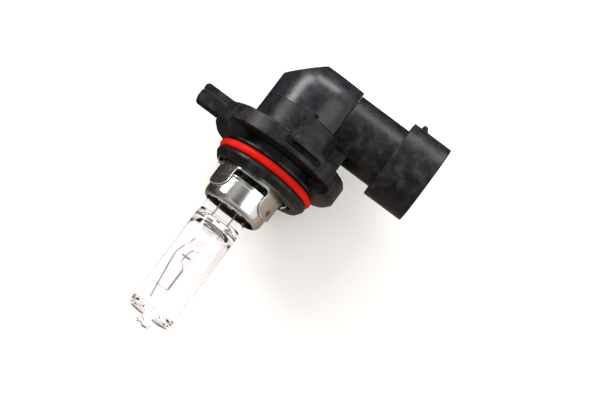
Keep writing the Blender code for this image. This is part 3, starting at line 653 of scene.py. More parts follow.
def make_edge_wear():
    """Where an edge is rubbed paler, broken up so that it isn't an even line."""
    tree, given, result = new_group(
        "edge_wear", [("Radius", 0.0003), ("Breakup size", 0.0012)], [("Mask", "Float")]
    )
    true = add_node(tree, "ShaderNodeNewGeometry").outputs["Normal"]
    turned = vector(tree, "DOT_PRODUCT", soft_normal(tree, given["Radius"]), true)
    edge = remap(tree, turned, 0.985, 0.80)
    breakup = noise_value(tree, calculate(tree, "DIVIDE", 1.0, given["Breakup size"]), detail=4.0)
    broken = remap(tree, breakup, 0.35, 0.6)
    tree.links.new(calculate(tree, "MULTIPLY", edge, broken), result["Mask"])


def make_dust():
    """Fine pale specks and a patchy thin film that settle on upward faces."""
    tree, given, result = new_group(
        "dust", [("Speck size", 0.0009), ("Film", 0.25)], [("Mask", "Float")]
    )
    normal = add_node(tree, "ShaderNodeNewGeometry").outputs["Normal"]
    up = add_node(tree, "ShaderNodeSeparateXYZ", {0: normal}).outputs["Z"]
    scale = calculate(tree, "DIVIDE", 1.0, given["Speck size"])
    cells = add_node(
        tree, "ShaderNodeTexVoronoi", {"Vector": object_place(tree), "Scale": scale}
    ).outputs
    luck = add_node(tree, "ShaderNodeSeparateColor", {0: cells["Color"]}).outputs[0]
    chosen = calculate(tree, "GREATER_THAN", luck, 0.86)
    speck = calculate(tree, "MULTIPLY", remap(tree, cells["Distance"], 0.13, 0.05), chosen)
    patches = remap(tree, noise_value(tree, 420.0, detail=6.0), 0.46, 0.74)
    film = calculate(tree, "MULTIPLY", patches, given["Film"])
    total = calculate(tree, "MAXIMUM", speck, film)
    facing = remap(tree, up, 0.1, 0.8)
    tree.links.new(calculate(tree, "MULTIPLY", total, facing, clamp=True), result["Mask"])


def make_rolled_sheet():
    """Fine lines along X, faint pits and slow waviness, as on rolled and pressed sheet."""
    tree, given, result = new_group(
        "rolled_sheet",
        [("Line size", 0.00012), ("Stretch", 14.0)],
        [("Height", "Float"), ("Lines", "Float"), ("Stain", "Float")],
    )
    squeeze = calculate(tree, "DIVIDE", 1.0, given["Stretch"])
    direction = add_node(tree, "ShaderNodeCombineXYZ", {0: squeeze, 1: 1.0, 2: 1.0}).outputs[0]
    place = vector(tree, "MULTIPLY", object_place(tree), direction)
    scale = calculate(tree, "DIVIDE", 1.0, given["Line size"])
    lines = noise_value(tree, scale, place=place)
    wave = noise_value(tree, 180.0, detail=1.0)
    tree.links.new(calculate(tree, "MULTIPLY_ADD", wave, 3.0, lines), result["Height"])
    tree.links.new(remap(tree, lines, 0.3, 0.7), result["Lines"])
    tree.links.new(remap(tree, noise_value(tree, 900.0, detail=5.0), 0.45, 0.7), result["Stain"])


def new_finish(name):
    finish = bpy.data.materials.new(name)
    finish.use_nodes = True
    tree = finish.node_tree
    return finish, tree, tree.nodes["Principled BSDF"].inputs


def set_relief(tree, shader, height, depth, edge=None):
    """Relief of that depth in metres, over edges that are rounded by the edge radius."""
    inputs = {"Height": height, "Strength": 1.0, "Distance": depth}
    if edge:
        inputs["Normal"] = soft_normal(tree, edge)
    tree.links.new(add_node(tree, "ShaderNodeBump", inputs).outputs[0], shader["Normal"])


def set_other_surface(tree, factor, other):
    """Where the factor is 1, the other shader takes the surface's place."""
    mixed = add_node(tree, "ShaderNodeMixShader", {0: factor, 2: other})
    tree.links.new(tree.nodes["Principled BSDF"].outputs[0], mixed.inputs[1])
    tree.links.new(mixed.outputs[0], tree.nodes["Material Output"].inputs["Surface"])


def seen_in_gloss(tree):
    """1 for what a glossy surface mirrors, unless it is seen through glass."""
    path = add_node(tree, "ShaderNodeLightPath").outputs
    direct = calculate(tree, "LESS_THAN", path["Transmission Depth"], 0.5)
    return calculate(tree, "MULTIPLY", path["Is Glossy Ray"], direct)


def moulded_finish(name, colour, matt, glossy, grain_size, depth, pale, dust, shine=0.19):
    """Moulded plastic: roughness runs from matt to glossy with the grain."""
    finish, tree, shader = new_finish(name)
    texture = use_group(tree, "mould_texture", Grain_size=grain_size)
    wear = use_group(tree, "edge_wear", Radius=0.00022)
    specks = use_group(tree, "dust", Film=dust)["Mask"]
    body = blend_colours(tree, texture["Flow"], tone(colour, 0.45), tone(colour, 1.6))
    rubbed = blend_colours(tree, calculate(tree, "MULTIPLY", wear["Mask"], 0.4), body, tone(pale))
    settled = calculate(tree, "MULTIPLY", specks, 0.20)
    tree.links.new(blend_colours(tree, settled, rubbed, tone(DUST_COLOUR)), shader["Base Color"])
    roughness = remap(tree, texture["Gloss"], 0.0, 1.0, glossy, matt)
    tree.links.new(calculate(tree, "MULTIPLY_ADD", specks, 0.15, roughness), shader["Roughness"])
    shader["Specular IOR Level"].default_value = shine
    shader["IOR"].default_value = 1.5
    set_relief(tree, shader, texture["Height"], depth, edge=0.00018)
    return finish


def facing_axis(tree, across):
    """1 where a face looks towards the line along X at Y = across, 0 where it looks away."""
    place = vector(tree, "SUBTRACT", object_place(tree), (0, across, 0))
    out = vector(tree, "NORMALIZE", vector(tree, "MULTIPLY", place, (0, 1, 1)))
    normal = add_node(tree, "ShaderNodeNewGeometry").outputs["Normal"]
    return remap(tree, vector(tree, "DOT_PRODUCT", out, normal), 0.0, -0.3)


def heat_round(tree, places, reach):
    """How much welding at the places has coloured the sheet: a ring with a paler middle."""
    nearest = None
    for spot in places:
        away = vector(tree, "DISTANCE", object_place(tree), spot)
        nearest = away if nearest is None else calculate(tree, "MINIMUM", nearest, away)
    ragged = calculate(tree, "MULTIPLY_ADD", noise_value(tree, 1600.0), reach * 0.7, nearest)
    halo = remap(tree, ragged, reach * 1.65, reach * 0.9)
    core = remap(tree, ragged, reach * 0.75, reach * 0.55)
    return calculate(tree, "MULTIPLY", halo, calculate(tree, "MULTIPLY_ADD", core, -0.75, 1.0))


def sheet_finish(name, colour, glossy, matt, depth, stain, tint=None, bore=None):
    """Bright rolled sheet or drawn wire.

    A tint is (colour, places, radius). With a bore, the faces that look at that axis get a painted
    shade, darker, and are rougher.
    """
    finish, tree, shader = new_finish(name)
    sheet = use_group(tree, "rolled_sheet")
    body = blend_colours(tree, sheet["Lines"], tone(colour, 0.82), tone(colour))
    stained = calculate(tree, "MULTIPLY", sheet["Stain"], 0.35)
    body = blend_colours(tree, stained, body, tone(stain))
    roughness = remap(tree, sheet["Stain"], 0.0, 1.0, glossy, matt)
    if tint:
        tint_colour, places, reach = tint
        heat = heat_round(tree, places, reach)
        coloured = calculate(tree, "MULTIPLY", heat, 0.95)
        body = blend_colours(tree, coloured, body, tone(tint_colour))
        roughness = calculate(tree, "MULTIPLY_ADD", heat, 0.18, roughness)
    if bore is not None:
        # Painted shade: faces that look at the bore's axis are darkened.
        inside = facing_axis(tree, bore)
        body = blend_colours(tree, inside, body, tone(PAINTED_BORE_SHADE))
        roughness = calculate(tree, "MULTIPLY_ADD", inside, 0.3, roughness)
    wear = use_group(tree, "edge_wear", Radius=0.00012)["Mask"]
    body = blend_colours(tree, wear, body, tone(RUBBED_METAL))
    roughness = calculate(tree, "MULTIPLY_ADD", wear, 0.12, roughness)
    tree.links.new(body, shader["Base Color"])
    tree.links.new(roughness, shader["Roughness"])
    shader["Metallic"].default_value = 1.0
    set_relief(tree, shader, sheet["Height"], depth, edge=0.00009)
    return finish


def glass_finish(name, colour, roughness, ripple, clear=1.0):
    """Quartz with a drawn ripple and faint haze, milky below clear 1. Lamps shine through it."""
    finish, tree, shader = new_finish(name)
    haze = noise_value(tree, 240.0, detail=4.0)
    cloudy = remap(tree, haze, 0.35, 0.65)
    body = blend_colours(tree, cloudy, tone(colour, 0.985), tone(colour))
    tree.links.new(body, shader["Base Color"])
    tree.links.new(remap(tree, haze, 0.4, 0.75, 0.0, roughness), shader["Roughness"])
    shader["Transmission Weight"].default_value = clear
    shader["IOR"].default_value = QUARTZ_INDEX
    drawn = vector(tree, "MULTIPLY", object_place(tree), (0.15, 1.0, 1.0))
    set_relief(tree, shader, noise_value(tree, 620.0, place=drawn, detail=1.0), ripple)
    shining = add_node(tree, "ShaderNodeBsdfTransparent", {"Color": (0.95, 0.94, 0.94, 1.0)})
    shadow = add_node(tree, "ShaderNodeLightPath").outputs["Is Shadow Ray"]
    set_other_surface(tree, shadow, shining.outputs[0])
    return finish


def rubber_finish(name, colour):
    """Silicone rubber with a low sheen, a faint bloom and fine mould lines."""
    finish, tree, shader = new_finish(name)
    texture = use_group(tree, "mould_texture", Grain_size=0.0003, Flow_size=0.006)
    specks = use_group(tree, "dust", Film=0.12)["Mask"]
    body = blend_colours(tree, texture["Flow"], tone(colour, 0.78), tone(colour))
    bloom = calculate(tree, "MULTIPLY", specks, 0.12)
    tree.links.new(blend_colours(tree, bloom, body, tone(BLOOM_COLOUR)), shader["Base Color"])
    tree.links.new(remap(tree, texture["Gloss"], 0.0, 1.0, 0.34, 0.48), shader["Roughness"])
    shader["Specular IOR Level"].default_value = 0.06
    set_relief(tree, shader, texture["Height"], 0.000006)
    return finish


def fibre_finish(name, colour, spacing):
    """A fine braid of two crossing sets of fibres."""
    finish, tree, shader = new_finish(name)
    place = object_place(tree)
    sets = []
    for lean in (1.0, -1.0):
        inputs = {"Vector": place, "Angle": lean * math.radians(35)}
        turned = add_node(tree, "ShaderNodeVectorRotate", inputs, rotation_type="Z_AXIS").outputs[0]
        inputs = {"Vector": turned, "Scale": 1.0 / spacing, "Distortion": 1.5}
        waves = add_node(tree, "ShaderNodeTexWave", inputs, bands_direction="Y")
        sets.append(waves.outputs["Fac"])
    braid = calculate(tree, "MAXIMUM", *sets)
    fibres = blend_colours(tree, braid, tone(colour, 0.6), tone(colour))
    grubby = remap(tree, noise_value(tree, 700.0), 0.4, 0.8, 0.0, 0.5)
    tree.links.new(blend_colours(tree, grubby, fibres, tone(colour, 0.7)), shader["Base Color"])
    tree.links.new(remap(tree, braid, 0.0, 1.0, 0.9, 0.65), shader["Roughness"])
    set_relief(tree, shader, braid, 0.00004)
    return finish


def table_finish(name, colour):
    """Matt white card. It shows pale. In what stands on it, it mirrors as a painted reflection: dark
    on one side, warm beige on the other.
    """
    finish, tree, shader = new_finish(name)
    fibre = noise_value(tree, 900.0, detail=4.0)
    card = blend_colours(tree, fibre, tone(colour, 0.985), tone(colour))
    tree.links.new(card, shader["Base Color"])
    tree.links.new(remap(tree, fibre, 0.0, 1.0, 0.8, 0.95), shader["Roughness"])
    shader["Specular IOR Level"].default_value = 0.1
    # Painted reflection: glossy rays see the table dark on one side and warm beige on the other.
    place = add_node(tree, "ShaderNodeSeparateXYZ", {0: object_place(tree)}).outputs
    across = calculate(tree, "MULTIPLY_ADD", place["X"], 0.8, place["Y"])
    side = remap(tree, across, -0.02, 0.02)
    mirrored = blend_colours(tree, side, tone(TABLE_PAINTED_DARK_REFLECTION), tone(TABLE_PAINTED_WARM_REFLECTION))
    dim = add_node(tree, "ShaderNodeBsdfDiffuse", {"Color": mirrored})
    set_other_surface(tree, seen_in_gloss(tree), dim.outputs[0])
    return finish


# ---- Glass capsule and what is in it ---------------------------------------------------------------


def smooth_step(t):
    t = min(max(t, 0.0), 1.0)
    return t * t * (3 - 2 * t)


def arc(centre, radius, start, end, steps):
    """Points of an arc, with angles in degrees from the first axis of its plane."""
    points = []
    for k in range(steps + 1):
        angle = math.radians(start + (end - start) * k / steps)
        across, up = radius * math.cos(angle), radius * math.sin(angle)
        points.append(Vector((centre[0] + across, centre[1] + up)))
    return points


def capsule_ring(x, half_width, half_height, squareness=2.0, ripple=0.0, steps=96):
    """One ring round the glass. Ripple is how far it strays, in metres."""
    ring = []
    for k in range(steps):
        turn = math.tau * k / steps
        across, up = superellipse(turn, squareness)
        stray = 1.0
        if ripple:
            place = Vector((x * 260, math.cos(turn) * 1.3, math.sin(turn) * 1.3))
            stray += noise.noise(place) * ripple / half_height
        y, z = across * half_width * stray, up * half_height * stray
        ring.append(Vector((x, CAPSULE_AXIS + y, z)))
    return ring


def capsule_outside(settings):
    """The pressed pinch, the shoulder, the tube and the sealed tip, as rings along the axis."""
    rings = []
    for k in range(5):
        lean = math.radians(90 * k / 4)
        inward = PINCH_EDGE * (1 - math.sin(lean))
        x = PINCH_REAR + PINCH_EDGE * (1 - math.cos(lean))
        width, height = PINCH_HALF_WIDTH - inward, PINCH_HALF_THICKNESS - inward
        rings.append(capsule_ring(x, width, height, PINCH_SQUARENESS))
    flat = 14
    pinch_length = PINCH_FRONT - PINCH_REAR - PINCH_EDGE
    for k in range(1, flat):
        x = PINCH_REAR + PINCH_EDGE + pinch_length * k / flat
        ring = capsule_ring(x, PINCH_HALF_WIDTH, PINCH_HALF_THICKNESS, PINCH_SQUARENESS, 0.08 * MM)
        rings.append(ring)
    tube_rear = GLASS_SHOULDER + 0.5 * MM
    stations = 18
    for k in range(stations + 1):
        t = k / stations
        opened = smooth_step(t**2.2)
        x = PINCH_FRONT + (tube_rear - PINCH_FRONT) * (1 - (1 - t) ** 1.4)
        width = PINCH_HALF_WIDTH + (GLASS_RADIUS - PINCH_HALF_WIDTH) * opened
        height = PINCH_HALF_THICKNESS + (GLASS_RADIUS - PINCH_HALF_THICKNESS) * opened
        squareness = PINCH_SQUARENESS - 5.0 * math.sqrt(opened)
        rings.append(capsule_ring(x, width, height, squareness, 0.05 * MM))
    tube_front = GLASS_END - GLASS_END_ROUND
    for k in range(1, 28):
        x = tube_rear + (tube_front - tube_rear) * k / 28
        rings.append(capsule_ring(x, GLASS_RADIUS, GLASS_RADIUS, ripple=settings.ripple))
    for x, radius in arc((tube_front, GLASS_RADIUS - GLASS_END_ROUND), GLASS_END_ROUND, 90, 8, 9):
        rings.append(capsule_ring(x, radius, radius))
    tip = settings.tip_width
    reach = GLASS_HIGH.x - GLASS_END
    profile = [(-0.06, 3.6 * MM), (-0.05, 2.6 * MM), (0.0, tip * 0.86), (0.10, tip * 0.68)]
    profile += [(0.22, tip * 0.66), (0.34, tip * 0.80), (0.46, tip * 0.95), (0.60, tip)]
    profile += [(0.74, tip * 0.93), (0.86, tip * 0.74), (0.95, tip * 0.42), (1.0, 0.0)]
    for along, radius in profile:
        rings.append(capsule_ring(GLASS_END + reach * along, radius, radius))
    return rings


def shape_tip(bm):
    """Pulls the sealed tip into two uneven lobes, as the burner leaves it."""
    for vert in bm.verts:
        rise = (vert.co.x - GLASS_END - 0.5 * MM) / (GLASS_HIGH.x - GLASS_END)
        if rise <= 0:
            continue
        amount = smooth_step(rise * 1.6)
        across = vert.co.y - CAPSULE_AXIS + 0.5 * MM
        vert.co.x -= 0.95 * MM * amount * math.exp(-((across / (0.55 * MM)) ** 2))
        lump = noise.noise(vert.co * 900) * 0.22 * MM * amount
        vert.co.y += (vert.co.y - CAPSULE_AXIS) * 0.08 * amount + lump
        bump = noise.noise(vert.co * 700) * 0.15 * MM * amount
        vert.co.z = vert.co.z * (1 - 0.22 * amount) + bump


def capsule_inside(settings):
    """The space that the filament stands in, with its faces turned inwards."""
    radius = GLASS_RADIUS - settings.wall
    rear, front = CAVITY_FRONT, GLASS_END - settings.wall
    shoulder, corner, straight = 2.2 * MM, 1.5 * MM, 24
    profile = [(rear, 0.0), (rear - 0.1 * MM, 1.6 * MM), (rear + 0.1 * MM, 2.9 * MM)]
    profile += [(rear + 0.5 * MM, 3.8 * MM), (rear + 1.2 * MM, 4.4 * MM), (rear + shoulder, radius)]
    for k in range(1, straight + 1):
        profile.append((rear + shoulder + (front - 3.8 * MM - rear) * k / straight, radius))
    profile += [tuple(point) for point in arc((front - corner, radius - corner), corner, 80, 0, 8)]
    profile += [(front - 0.1 * MM, 2.2 * MM), (front, 1.3 * MM)]
    profile += [(front + 0.35 * MM, 0.7 * MM), (front + 0.5 * MM, 0.0)]
    rings = []
    for x, width in profile:
        rings.append(capsule_ring(x, width, width, ripple=0.02 * MM if width else 0.0))
    inside = loft(rings)
    bmesh.ops.reverse_faces(inside, faces=inside.faces)
    return inside


def build_capsule(settings, finish):
    outside = loft(capsule_outside(settings))
    shape_tip(outside)
    cavity = bpy.data.meshes.new("capsule_cavity")
    inside = capsule_inside(settings)
    inside.to_mesh(cavity)
    inside.free()
    outside.from_mesh(cavity)
    bpy.data.meshes.remove(cavity)
    capsule = add_object("quartz_capsule", outside)
    complete(capsule, finish, "glass_envelope", sharp=70)


def lead_place(side):
    """Where a wire crosses the pinch. Side -1 is away from the connector."""
    return CAPSULE_AXIS + side * LEAD_SPREAD


def build_bridge(finish):
    """Two soft lumps of glass pressed round the wires, with a waist between them."""
    middle = (BRIDGE_LOW.x + BRIDGE_HIGH.x) / 2
    half = BRIDGE_HIGH.y - CAPSULE_AXIS
    rings = []
    count, sides = 44, 40
    for k in range(count + 1):
        turn = math.pi * k / count
        across = -half * math.cos(turn)
        bulge = math.exp(-(((abs(across) - LEAD_SPREAD) / (1.15 * MM)) ** 2))
        radius = (0.80 * MM + 0.75 * MM * bulge) * math.sin(turn) ** 0.45 if 0 < k < count else 0.0
        ring = []
        for n in range(sides):
            angle = math.tau * n / sides
            lump = 1 + 0.10 * noise.noise(Vector((across * 500, math.cos(angle), math.sin(angle))))
            x = middle + radius * 1.2 * lump * math.cos(angle)
            ring.append(Vector((x, CAPSULE_AXIS + across, radius * 0.85 * lump * math.sin(angle))))
        rings.append(ring)
    bridge = add_object("lead_bridge", loft(rings))
    drip = [(0.2, 0.6, 0.3), (1.5, 0.3, 0.4), (2.6, -0.9, 0.4), (4.0, -2.9, 0.3)]
    start = Vector((middle, lead_place(1), 0))
    route = rounded_path([start + Vector(step) * MM for step in drip], 0.9 * MM)
    radii = [1.2 * MM * (1 - 0.62 * k / (len(route) - 1)) for k in range(len(route))]
    join(bridge, tube(route, radii, 32))
    complete(bridge, finish, "glass_bridge", sharp=70)


def build_leads(finish):
    bend_from = BRIDGE_HIGH.x + 0.4 * MM
    long_path = [
        (FOIL_FRONT, lead_place(-1), 0),
        (bend_from, lead_place(-1), 0),
        (LONG_LEAD_BEND, CAPSULE_AXIS - LONG_LEAD_REACH, 0),
        (LONG_LEAD_END, CAPSULE_AXIS - LONG_LEAD_END_REACH, 0),
    ]
    short_path = [
        (FOIL_FRONT, lead_place(1), 0),
        (bend_from, lead_place(1), 0),
        (bend_from + 2.6 * MM, CAPSULE_AXIS - SHORT_LEAD_REACH * 0.8, 0),
        (SHORT_LEAD_END, CAPSULE_AXIS - SHORT_LEAD_REACH, 0),
    ]
    for name, path, turn in (("long", long_path, 1.2 * MM), ("short", short_path, 0.9 * MM)):
        route = rounded_path(path, turn)
        radii = [LEAD_RADIUS * 0.9] * (len(route) - 1) + [LEAD_RADIUS * 0.7]
        wire = add_object(f"{name}_lead", tube(route, radii, 20))
        complete(wire, finish, f"{name}_support_lead", sharp=50)


def build_filament(settings, finish):
    """The wound coil, its crooked foot on the short lead and its leg to the long one."""
    height = LEAD_RADIUS + 0.3 * MM
    radius, steps = settings.coil_radius, 20
    foot = Vector((SHORT_LEAD_END - 1.4 * MM, CAPSULE_AXIS - SHORT_LEAD_REACH, height))
    knee = Vector((COIL_START - 1.1 * MM, CAPSULE_AXIS - SHORT_LEAD_REACH - 0.1 * MM, height))
    crook = Vector((COIL_START - 0.9 * MM, CAPSULE_AXIS - 0.5 * MM, height * 0.8))
    coil = []
    for k in range(settings.coil_turns * steps + 1):
        x = COIL_START + COIL_LENGTH * k / (settings.coil_turns * steps)
        y = CAPSULE_AXIS + radius * math.sin(math.tau * k / steps)
        coil.append(Vector((x, y, radius * math.cos(math.tau * k / steps))))
    top = coil[-1].x + 0.3 * MM
    elbow = Vector((top, CAPSULE_AXIS - radius, height))
    leg_end = Vector((top, CAPSULE_AXIS - LEG_REACH, height))
    path = rounded_path([foot, knee, crook, coil[0]], 0.55 * MM)[:-1] + coil
    path += rounded_path([coil[-1], elbow, leg_end], 0.3 * MM)[1:]
    filament = add_object("filament_coil", tube(path, COIL_WIRE_RADIUS, 10))
    complete(filament, finish, "filament", sharp=60)


def build_strips(finish):
    """The weld strip and the two foils, as thin plates with rounded corners."""
    strips = [
        ("weld_strip", "filament_weld_strip", 0.12 * MM, 0.04 * MM),
        ("long_foil", "molybdenum_foil_long", 0.4 * MM, 0.035 * MM),
        ("short_foil", "molybdenum_foil_short", 0.4 * MM, 0.035 * MM),
    ]
    for name, node, fillet, edge in strips:
        low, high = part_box(node)
        strip = add_object(name, prism(plate(low, high, fillet), low.z, high.z, edge=edge))
        complete(strip, finish, node)


# ---- Sheet-metal holder ----------------------------------------------------------------------------


def weld_spots():
    """Middles of the weld dimples on the three tongues."""
    return [place_on("X", WELD_PLACE, SLEEVE_RADIUS, angle) for angle in TONGUES]


def three_round(make):
    """The made shape at each of the three places round the holder's axis."""
    for k in range(3):
        made = make()
        turned_by = Matrix.Rotation(math.tau * k / 3, 3, "X")
        bmesh.ops.rotate(made, verts=made.verts, cent=(0, 0, 0), matrix=turned_by)
        bmesh.ops.translate(made, verts=made.verts, vec=(0, HOLDER_AXIS, 0))
        yield made


def window_outline():
    """Across a window and along the axis: a U that flares at the tongues' rounded corners."""
    half = SLEEVE_RADIUS * math.sin(math.radians(WINDOW_SPAN / 2))
    floor, corner, shoulder = WINDOW_FLOOR, 1.0 * MM, 2.6 * MM
    high = TONGUE_END + 1.0 * MM
    outline = arc((floor + corner, half - corner), corner, 90, 180, 8)
    outline += arc((floor + corner, corner - half), corner, 180, 270, 8)
    outline += arc((TONGUE_END - shoulder, -half - shoulder), shoulder, 90, 10, 12)
    outline += [Vector((high, -half - shoulder)), Vector((high, half + shoulder))]
    outline += arc((TONGUE_END - shoulder, half + shoulder), shoulder, -10, -90, 12)
    return outline


def window_edge():
    """The rounded cut edge of a window, from one tongue's tip round to the other's."""
    radius = SLEEVE_RADIUS - SHEET * 0.55
    front = [point for point in window_outline() if point.x < TONGUE_END]
    floor = [point for point in front if point.x < WINDOW_FLOOR + 1.1 * MM]
    first = [point for point in front if point not in floor and point.y > 0]
    last = [point for point in front if point not in floor and point.y < 0]
    path = []
    for x, across in first + floor + last:
        path.append(Vector((x, across, math.sqrt(radius**2 - across**2))))
    return tube(path, SHEET * 0.55, 14)


def flatten_tongues(sleeve, flatness):
    """Turns the shading of the tongues' outer faces towards flat, as pressing leaves them."""
    mesh = sleeve.data
    outward = [Vector((0, math.sin(angle), math.cos(angle))) for angle in TONGUES]
    normals = [Vector(corner.vector) for corner in mesh.corner_normals]
    for loop in mesh.loops:
        place = mesh.vertices[loop.vertex_index].co - Vector((0, HOLDER_AXIS, 0))
        radial = Vector((0, place.y, place.z)).normalized()
        normal = normals[loop.index]
        nearest = max(outward, key=radial.dot)
        if normal.dot(radial) < 0.8 or place.x < WINDOW_FLOOR or nearest.dot(radial) < 0.85:
            continue
        strength = flatness * smooth_step((place.x - WINDOW_FLOOR) / (1.5 * MM))
        normals[loop.index] = (normal + nearest * strength).normalized()
    mesh.normals_split_custom_set(normals)


def build_bare_edges(finish):
    """The rounded cut edges of the windows and the two bent tabs that hold the sleeve."""
    pieces = list(three_round(window_edge))
    for side in (-1, 1):
        root = HOLDER_AXIS + side * (SLEEVE_RADIUS - SHEET / 2)
        line = [
            (BOSS_FRONT - 0.6 * MM, root),
            (BOSS_FRONT + 1.2 * MM, root + side * 0.75 * MM),
            (BOSS_FRONT + 0.1 * MM, root + side * 1.6 * MM),
        ]
        outline = [Vector(point) for point in line]
        outline += [Vector((x - TAB_THICKNESS, y - side * 0.05 * MM)) for x, y in reversed(line)]
        tab = prism(outline, -TAB_HALF_WIDTH, TAB_HALF_WIDTH, edge=0.05 * MM, segments=2)
        pieces.append(tab)
    edges = add_object("bare_edges", pieces[0])
    join(edges, *pieces[1:])
    complete(edges, finish, "mounting_sleeve")


def build_sleeve(settings, finish):
    centre = Vector((0, HOLDER_AXIS, 0))
    low, high = (SLEEVE_LOW.x, SLEEVE_RADIUS - SHEET), (TONGUE_END, SLEEVE_RADIUS)
    outline = plate(low, high, 0.08 * MM, turn=30)
    sleeve = add_object("tongue_sleeve", lathe(outline, centre=centre))
    top = SLEEVE_RADIUS + 2 * MM
    cut(sleeve, *three_round(lambda: prism(window_outline(), 2 * MM, top)))
    ball = settings.dimple * 1.5
    dents = []
    for spot in weld_spots():
        outward = Vector((0, spot.y, spot.z)).normalized()
        middle = Matrix.Translation(spot + centre + outward * (ball - DIMPLE_DEPTH))
        dent = bmesh.new()
        bmesh.ops.create_uvsphere(dent, u_segments=40, v_segments=24, radius=ball, matrix=middle)
        dents.append(dent)
    cut(sleeve, *dents)
    complete(sleeve, finish, "mounting_sleeve")
    flatten_tongues(sleeve, 1.6)


def cup_wall(offset):
    """The cup's side from its rear bead to its mouth, moved inwards by the offset."""
    outer = CUP_RADIUS - offset
    bead = [(CUP_REAR + 0.5 * MM, outer), (CUP_REAR + 0.75 * MM, outer - 0.12 * MM)]
    bead += [(CUP_REAR + 1.0 * MM, outer - 0.12 * MM), (CUP_REAR + 1.3 * MM, outer)]
    depth = CUP_SHOULDER - offset
    shoulder = []
    for k in range(13):
        angle = math.radians(90 * k / 12)
        x = CUP_FRONT - CUP_SHOULDER + depth * math.sin(angle)
        shoulder.append((x, CUP_MOUTH_RADIUS + (outer - CUP_MOUTH_RADIUS) * math.cos(angle)))
    return bead + shoulder


def build_cup(finish):
    centre = (0, HOLDER_AXIS, 0)
    floor = CUP_REAR + SHEET
    outline = [(CUP_REAR, 0), (CUP_REAR, CUP_RADIUS - 0.25 * MM)]
    outline.append((CUP_REAR + 0.08 * MM, CUP_RADIUS))
    outline += cup_wall(0.0) + cup_wall(SHEET)[::-1]
    outline += [(floor, CUP_RADIUS - SHEET), (floor, 0)]
    cup = add_object("capsule_cup_shell", lathe(outline, centre=centre))
    half_width, half_height = PINCH_HALF_WIDTH + 0.8 * MM, PINCH_HALF_THICKNESS + 0.8 * MM
    low = (CUP_REAR - OVERSHOOT, CAPSULE_AXIS - half_width, -half_height)
    high = (floor + 0.5 * MM, CAPSULE_AXIS + half_width, half_height)
    cut(cup, box(low, high, 0.3 * MM))
    complete(cup, finish, "capsule_cup")


def clamp_finger(middle, up, root, crest):
    """A strip that bends out from the clamp and back along the cup's wall."""
    line = [
        (CLAMP_FRONT - 0.5 * MM, root),
        (CLAMP_FRONT + 0.1 * MM, root + 0.9 * MM),
        (CLAMP_FRONT - 0.3 * MM, (root + crest) / 2 + 0.3 * MM),
        (CLAMP_FRONT - 1.9 * MM, crest),
    ]
    outline = [Vector((x, up * z)) for x, z in line]
    outline += [Vector((x - CLAMP_WALL, up * (z - 0.05 * MM))) for x, z in reversed(line)]
    low, high = middle - FINGER_HALF_WIDTH, middle + FINGER_HALF_WIDTH
    return prism(outline, low, high, "XZ", 0.05 * MM, 2)


def build_clamp(finish):
    """The sprung frame round the pinch, with fingers that reach out to the cup's wall."""
    half_width, half_height = PINCH_HALF_WIDTH + 0.6 * MM, PINCH_HALF_THICKNESS + 0.6 * MM
    rear = CUP_REAR - 0.4 * MM
    low = Vector((rear, CAPSULE_AXIS - half_width, -half_height))
    high = Vector((CLAMP_FRONT, CAPSULE_AXIS + half_width, half_height))
    clamp = add_object("pinch_spring", box(low, high, 0.5 * MM))
    inward = Vector((-OVERSHOOT, CLAMP_WALL, CLAMP_WALL))
    cut(clamp, box(low + inward, high - inward, 0.3 * MM))
    fingers = []
    for across in (-0.42, 0.0, 0.42):
        middle = CAPSULE_AXIS + across * half_width
        offset = abs(middle - HOLDER_AXIS) + FINGER_HALF_WIDTH
        reach = math.sqrt((CUP_RADIUS - SHEET - 0.3 * MM) ** 2 - offset**2)
        for up in (-1, 1):
            fingers.append(clamp_finger(middle, up, half_height - CLAMP_WALL / 2, reach))
    join(clamp, *fingers)
    complete(clamp, finish, "pinch_clamp")


# ---- Sealing ring, moulded base and elbow cap ------------------------------------------------------


def build_ring(finish):
    """A round ring with a faint line of flash where its mould parts."""
    middle = (RING_LOW.x + RING_HIGH.x) / 2
    section = (RING_HIGH.x - RING_LOW.x) / 2
    radius = RING_HIGH.z - section
    outline = []
    for k in range(48):
        angle = math.tau * k / 48
        flash = FLASH_HEIGHT * math.exp(-((math.sin(angle) / 0.12) ** 2))
        reach = section + (flash if math.cos(angle) < 0 else 0.0)
        outline.append((middle + reach * math.cos(angle), radius + reach * math.sin(angle)))
    ring = add_object("sealing_ring", lathe(outline))
    complete(ring, finish, "o_ring", sharp=80)


def base_outline(edge):
    """The turned part of the base, from the boss's face to the neck's rear."""
    return rounded(
        [
            (NECK_REAR, 0, 0),
            (BOSS_FRONT, 0, 0),
            (BOSS_FRONT, BOSS_FACE_RADIUS, edge * 0.7),
            (BOSS_CHAMFER_REAR, BOSS_RADIUS, edge * 0.7),
            (GROOVE_HALF_WIDTH, BOSS_RADIUS, edge * 0.4),
            (GROOVE_HALF_WIDTH, GROOVE_RADIUS, edge * 0.4),
            (-GROOVE_HALF_WIDTH, GROOVE_RADIUS, edge * 0.4),
            (-GROOVE_HALF_WIDTH, BOSS_RADIUS, edge * 0.4),
            (BOSS_REAR, BOSS_RADIUS, edge * 0.5),
            (BOSS_REAR, WAIST_RADIUS, edge * 0.5),
            (DISC_FRONT, WAIST_RADIUS, edge),
            (DISC_FRONT, DISC_RADIUS, edge),
            (DISC_REAR, DISC_RADIUS, edge * 1.2),
            (DISC_REAR, NECK_RADIUS, edge * 1.6),
            (NECK_REAR, NECK_RADIUS, edge * 0.5),
        ]
    )


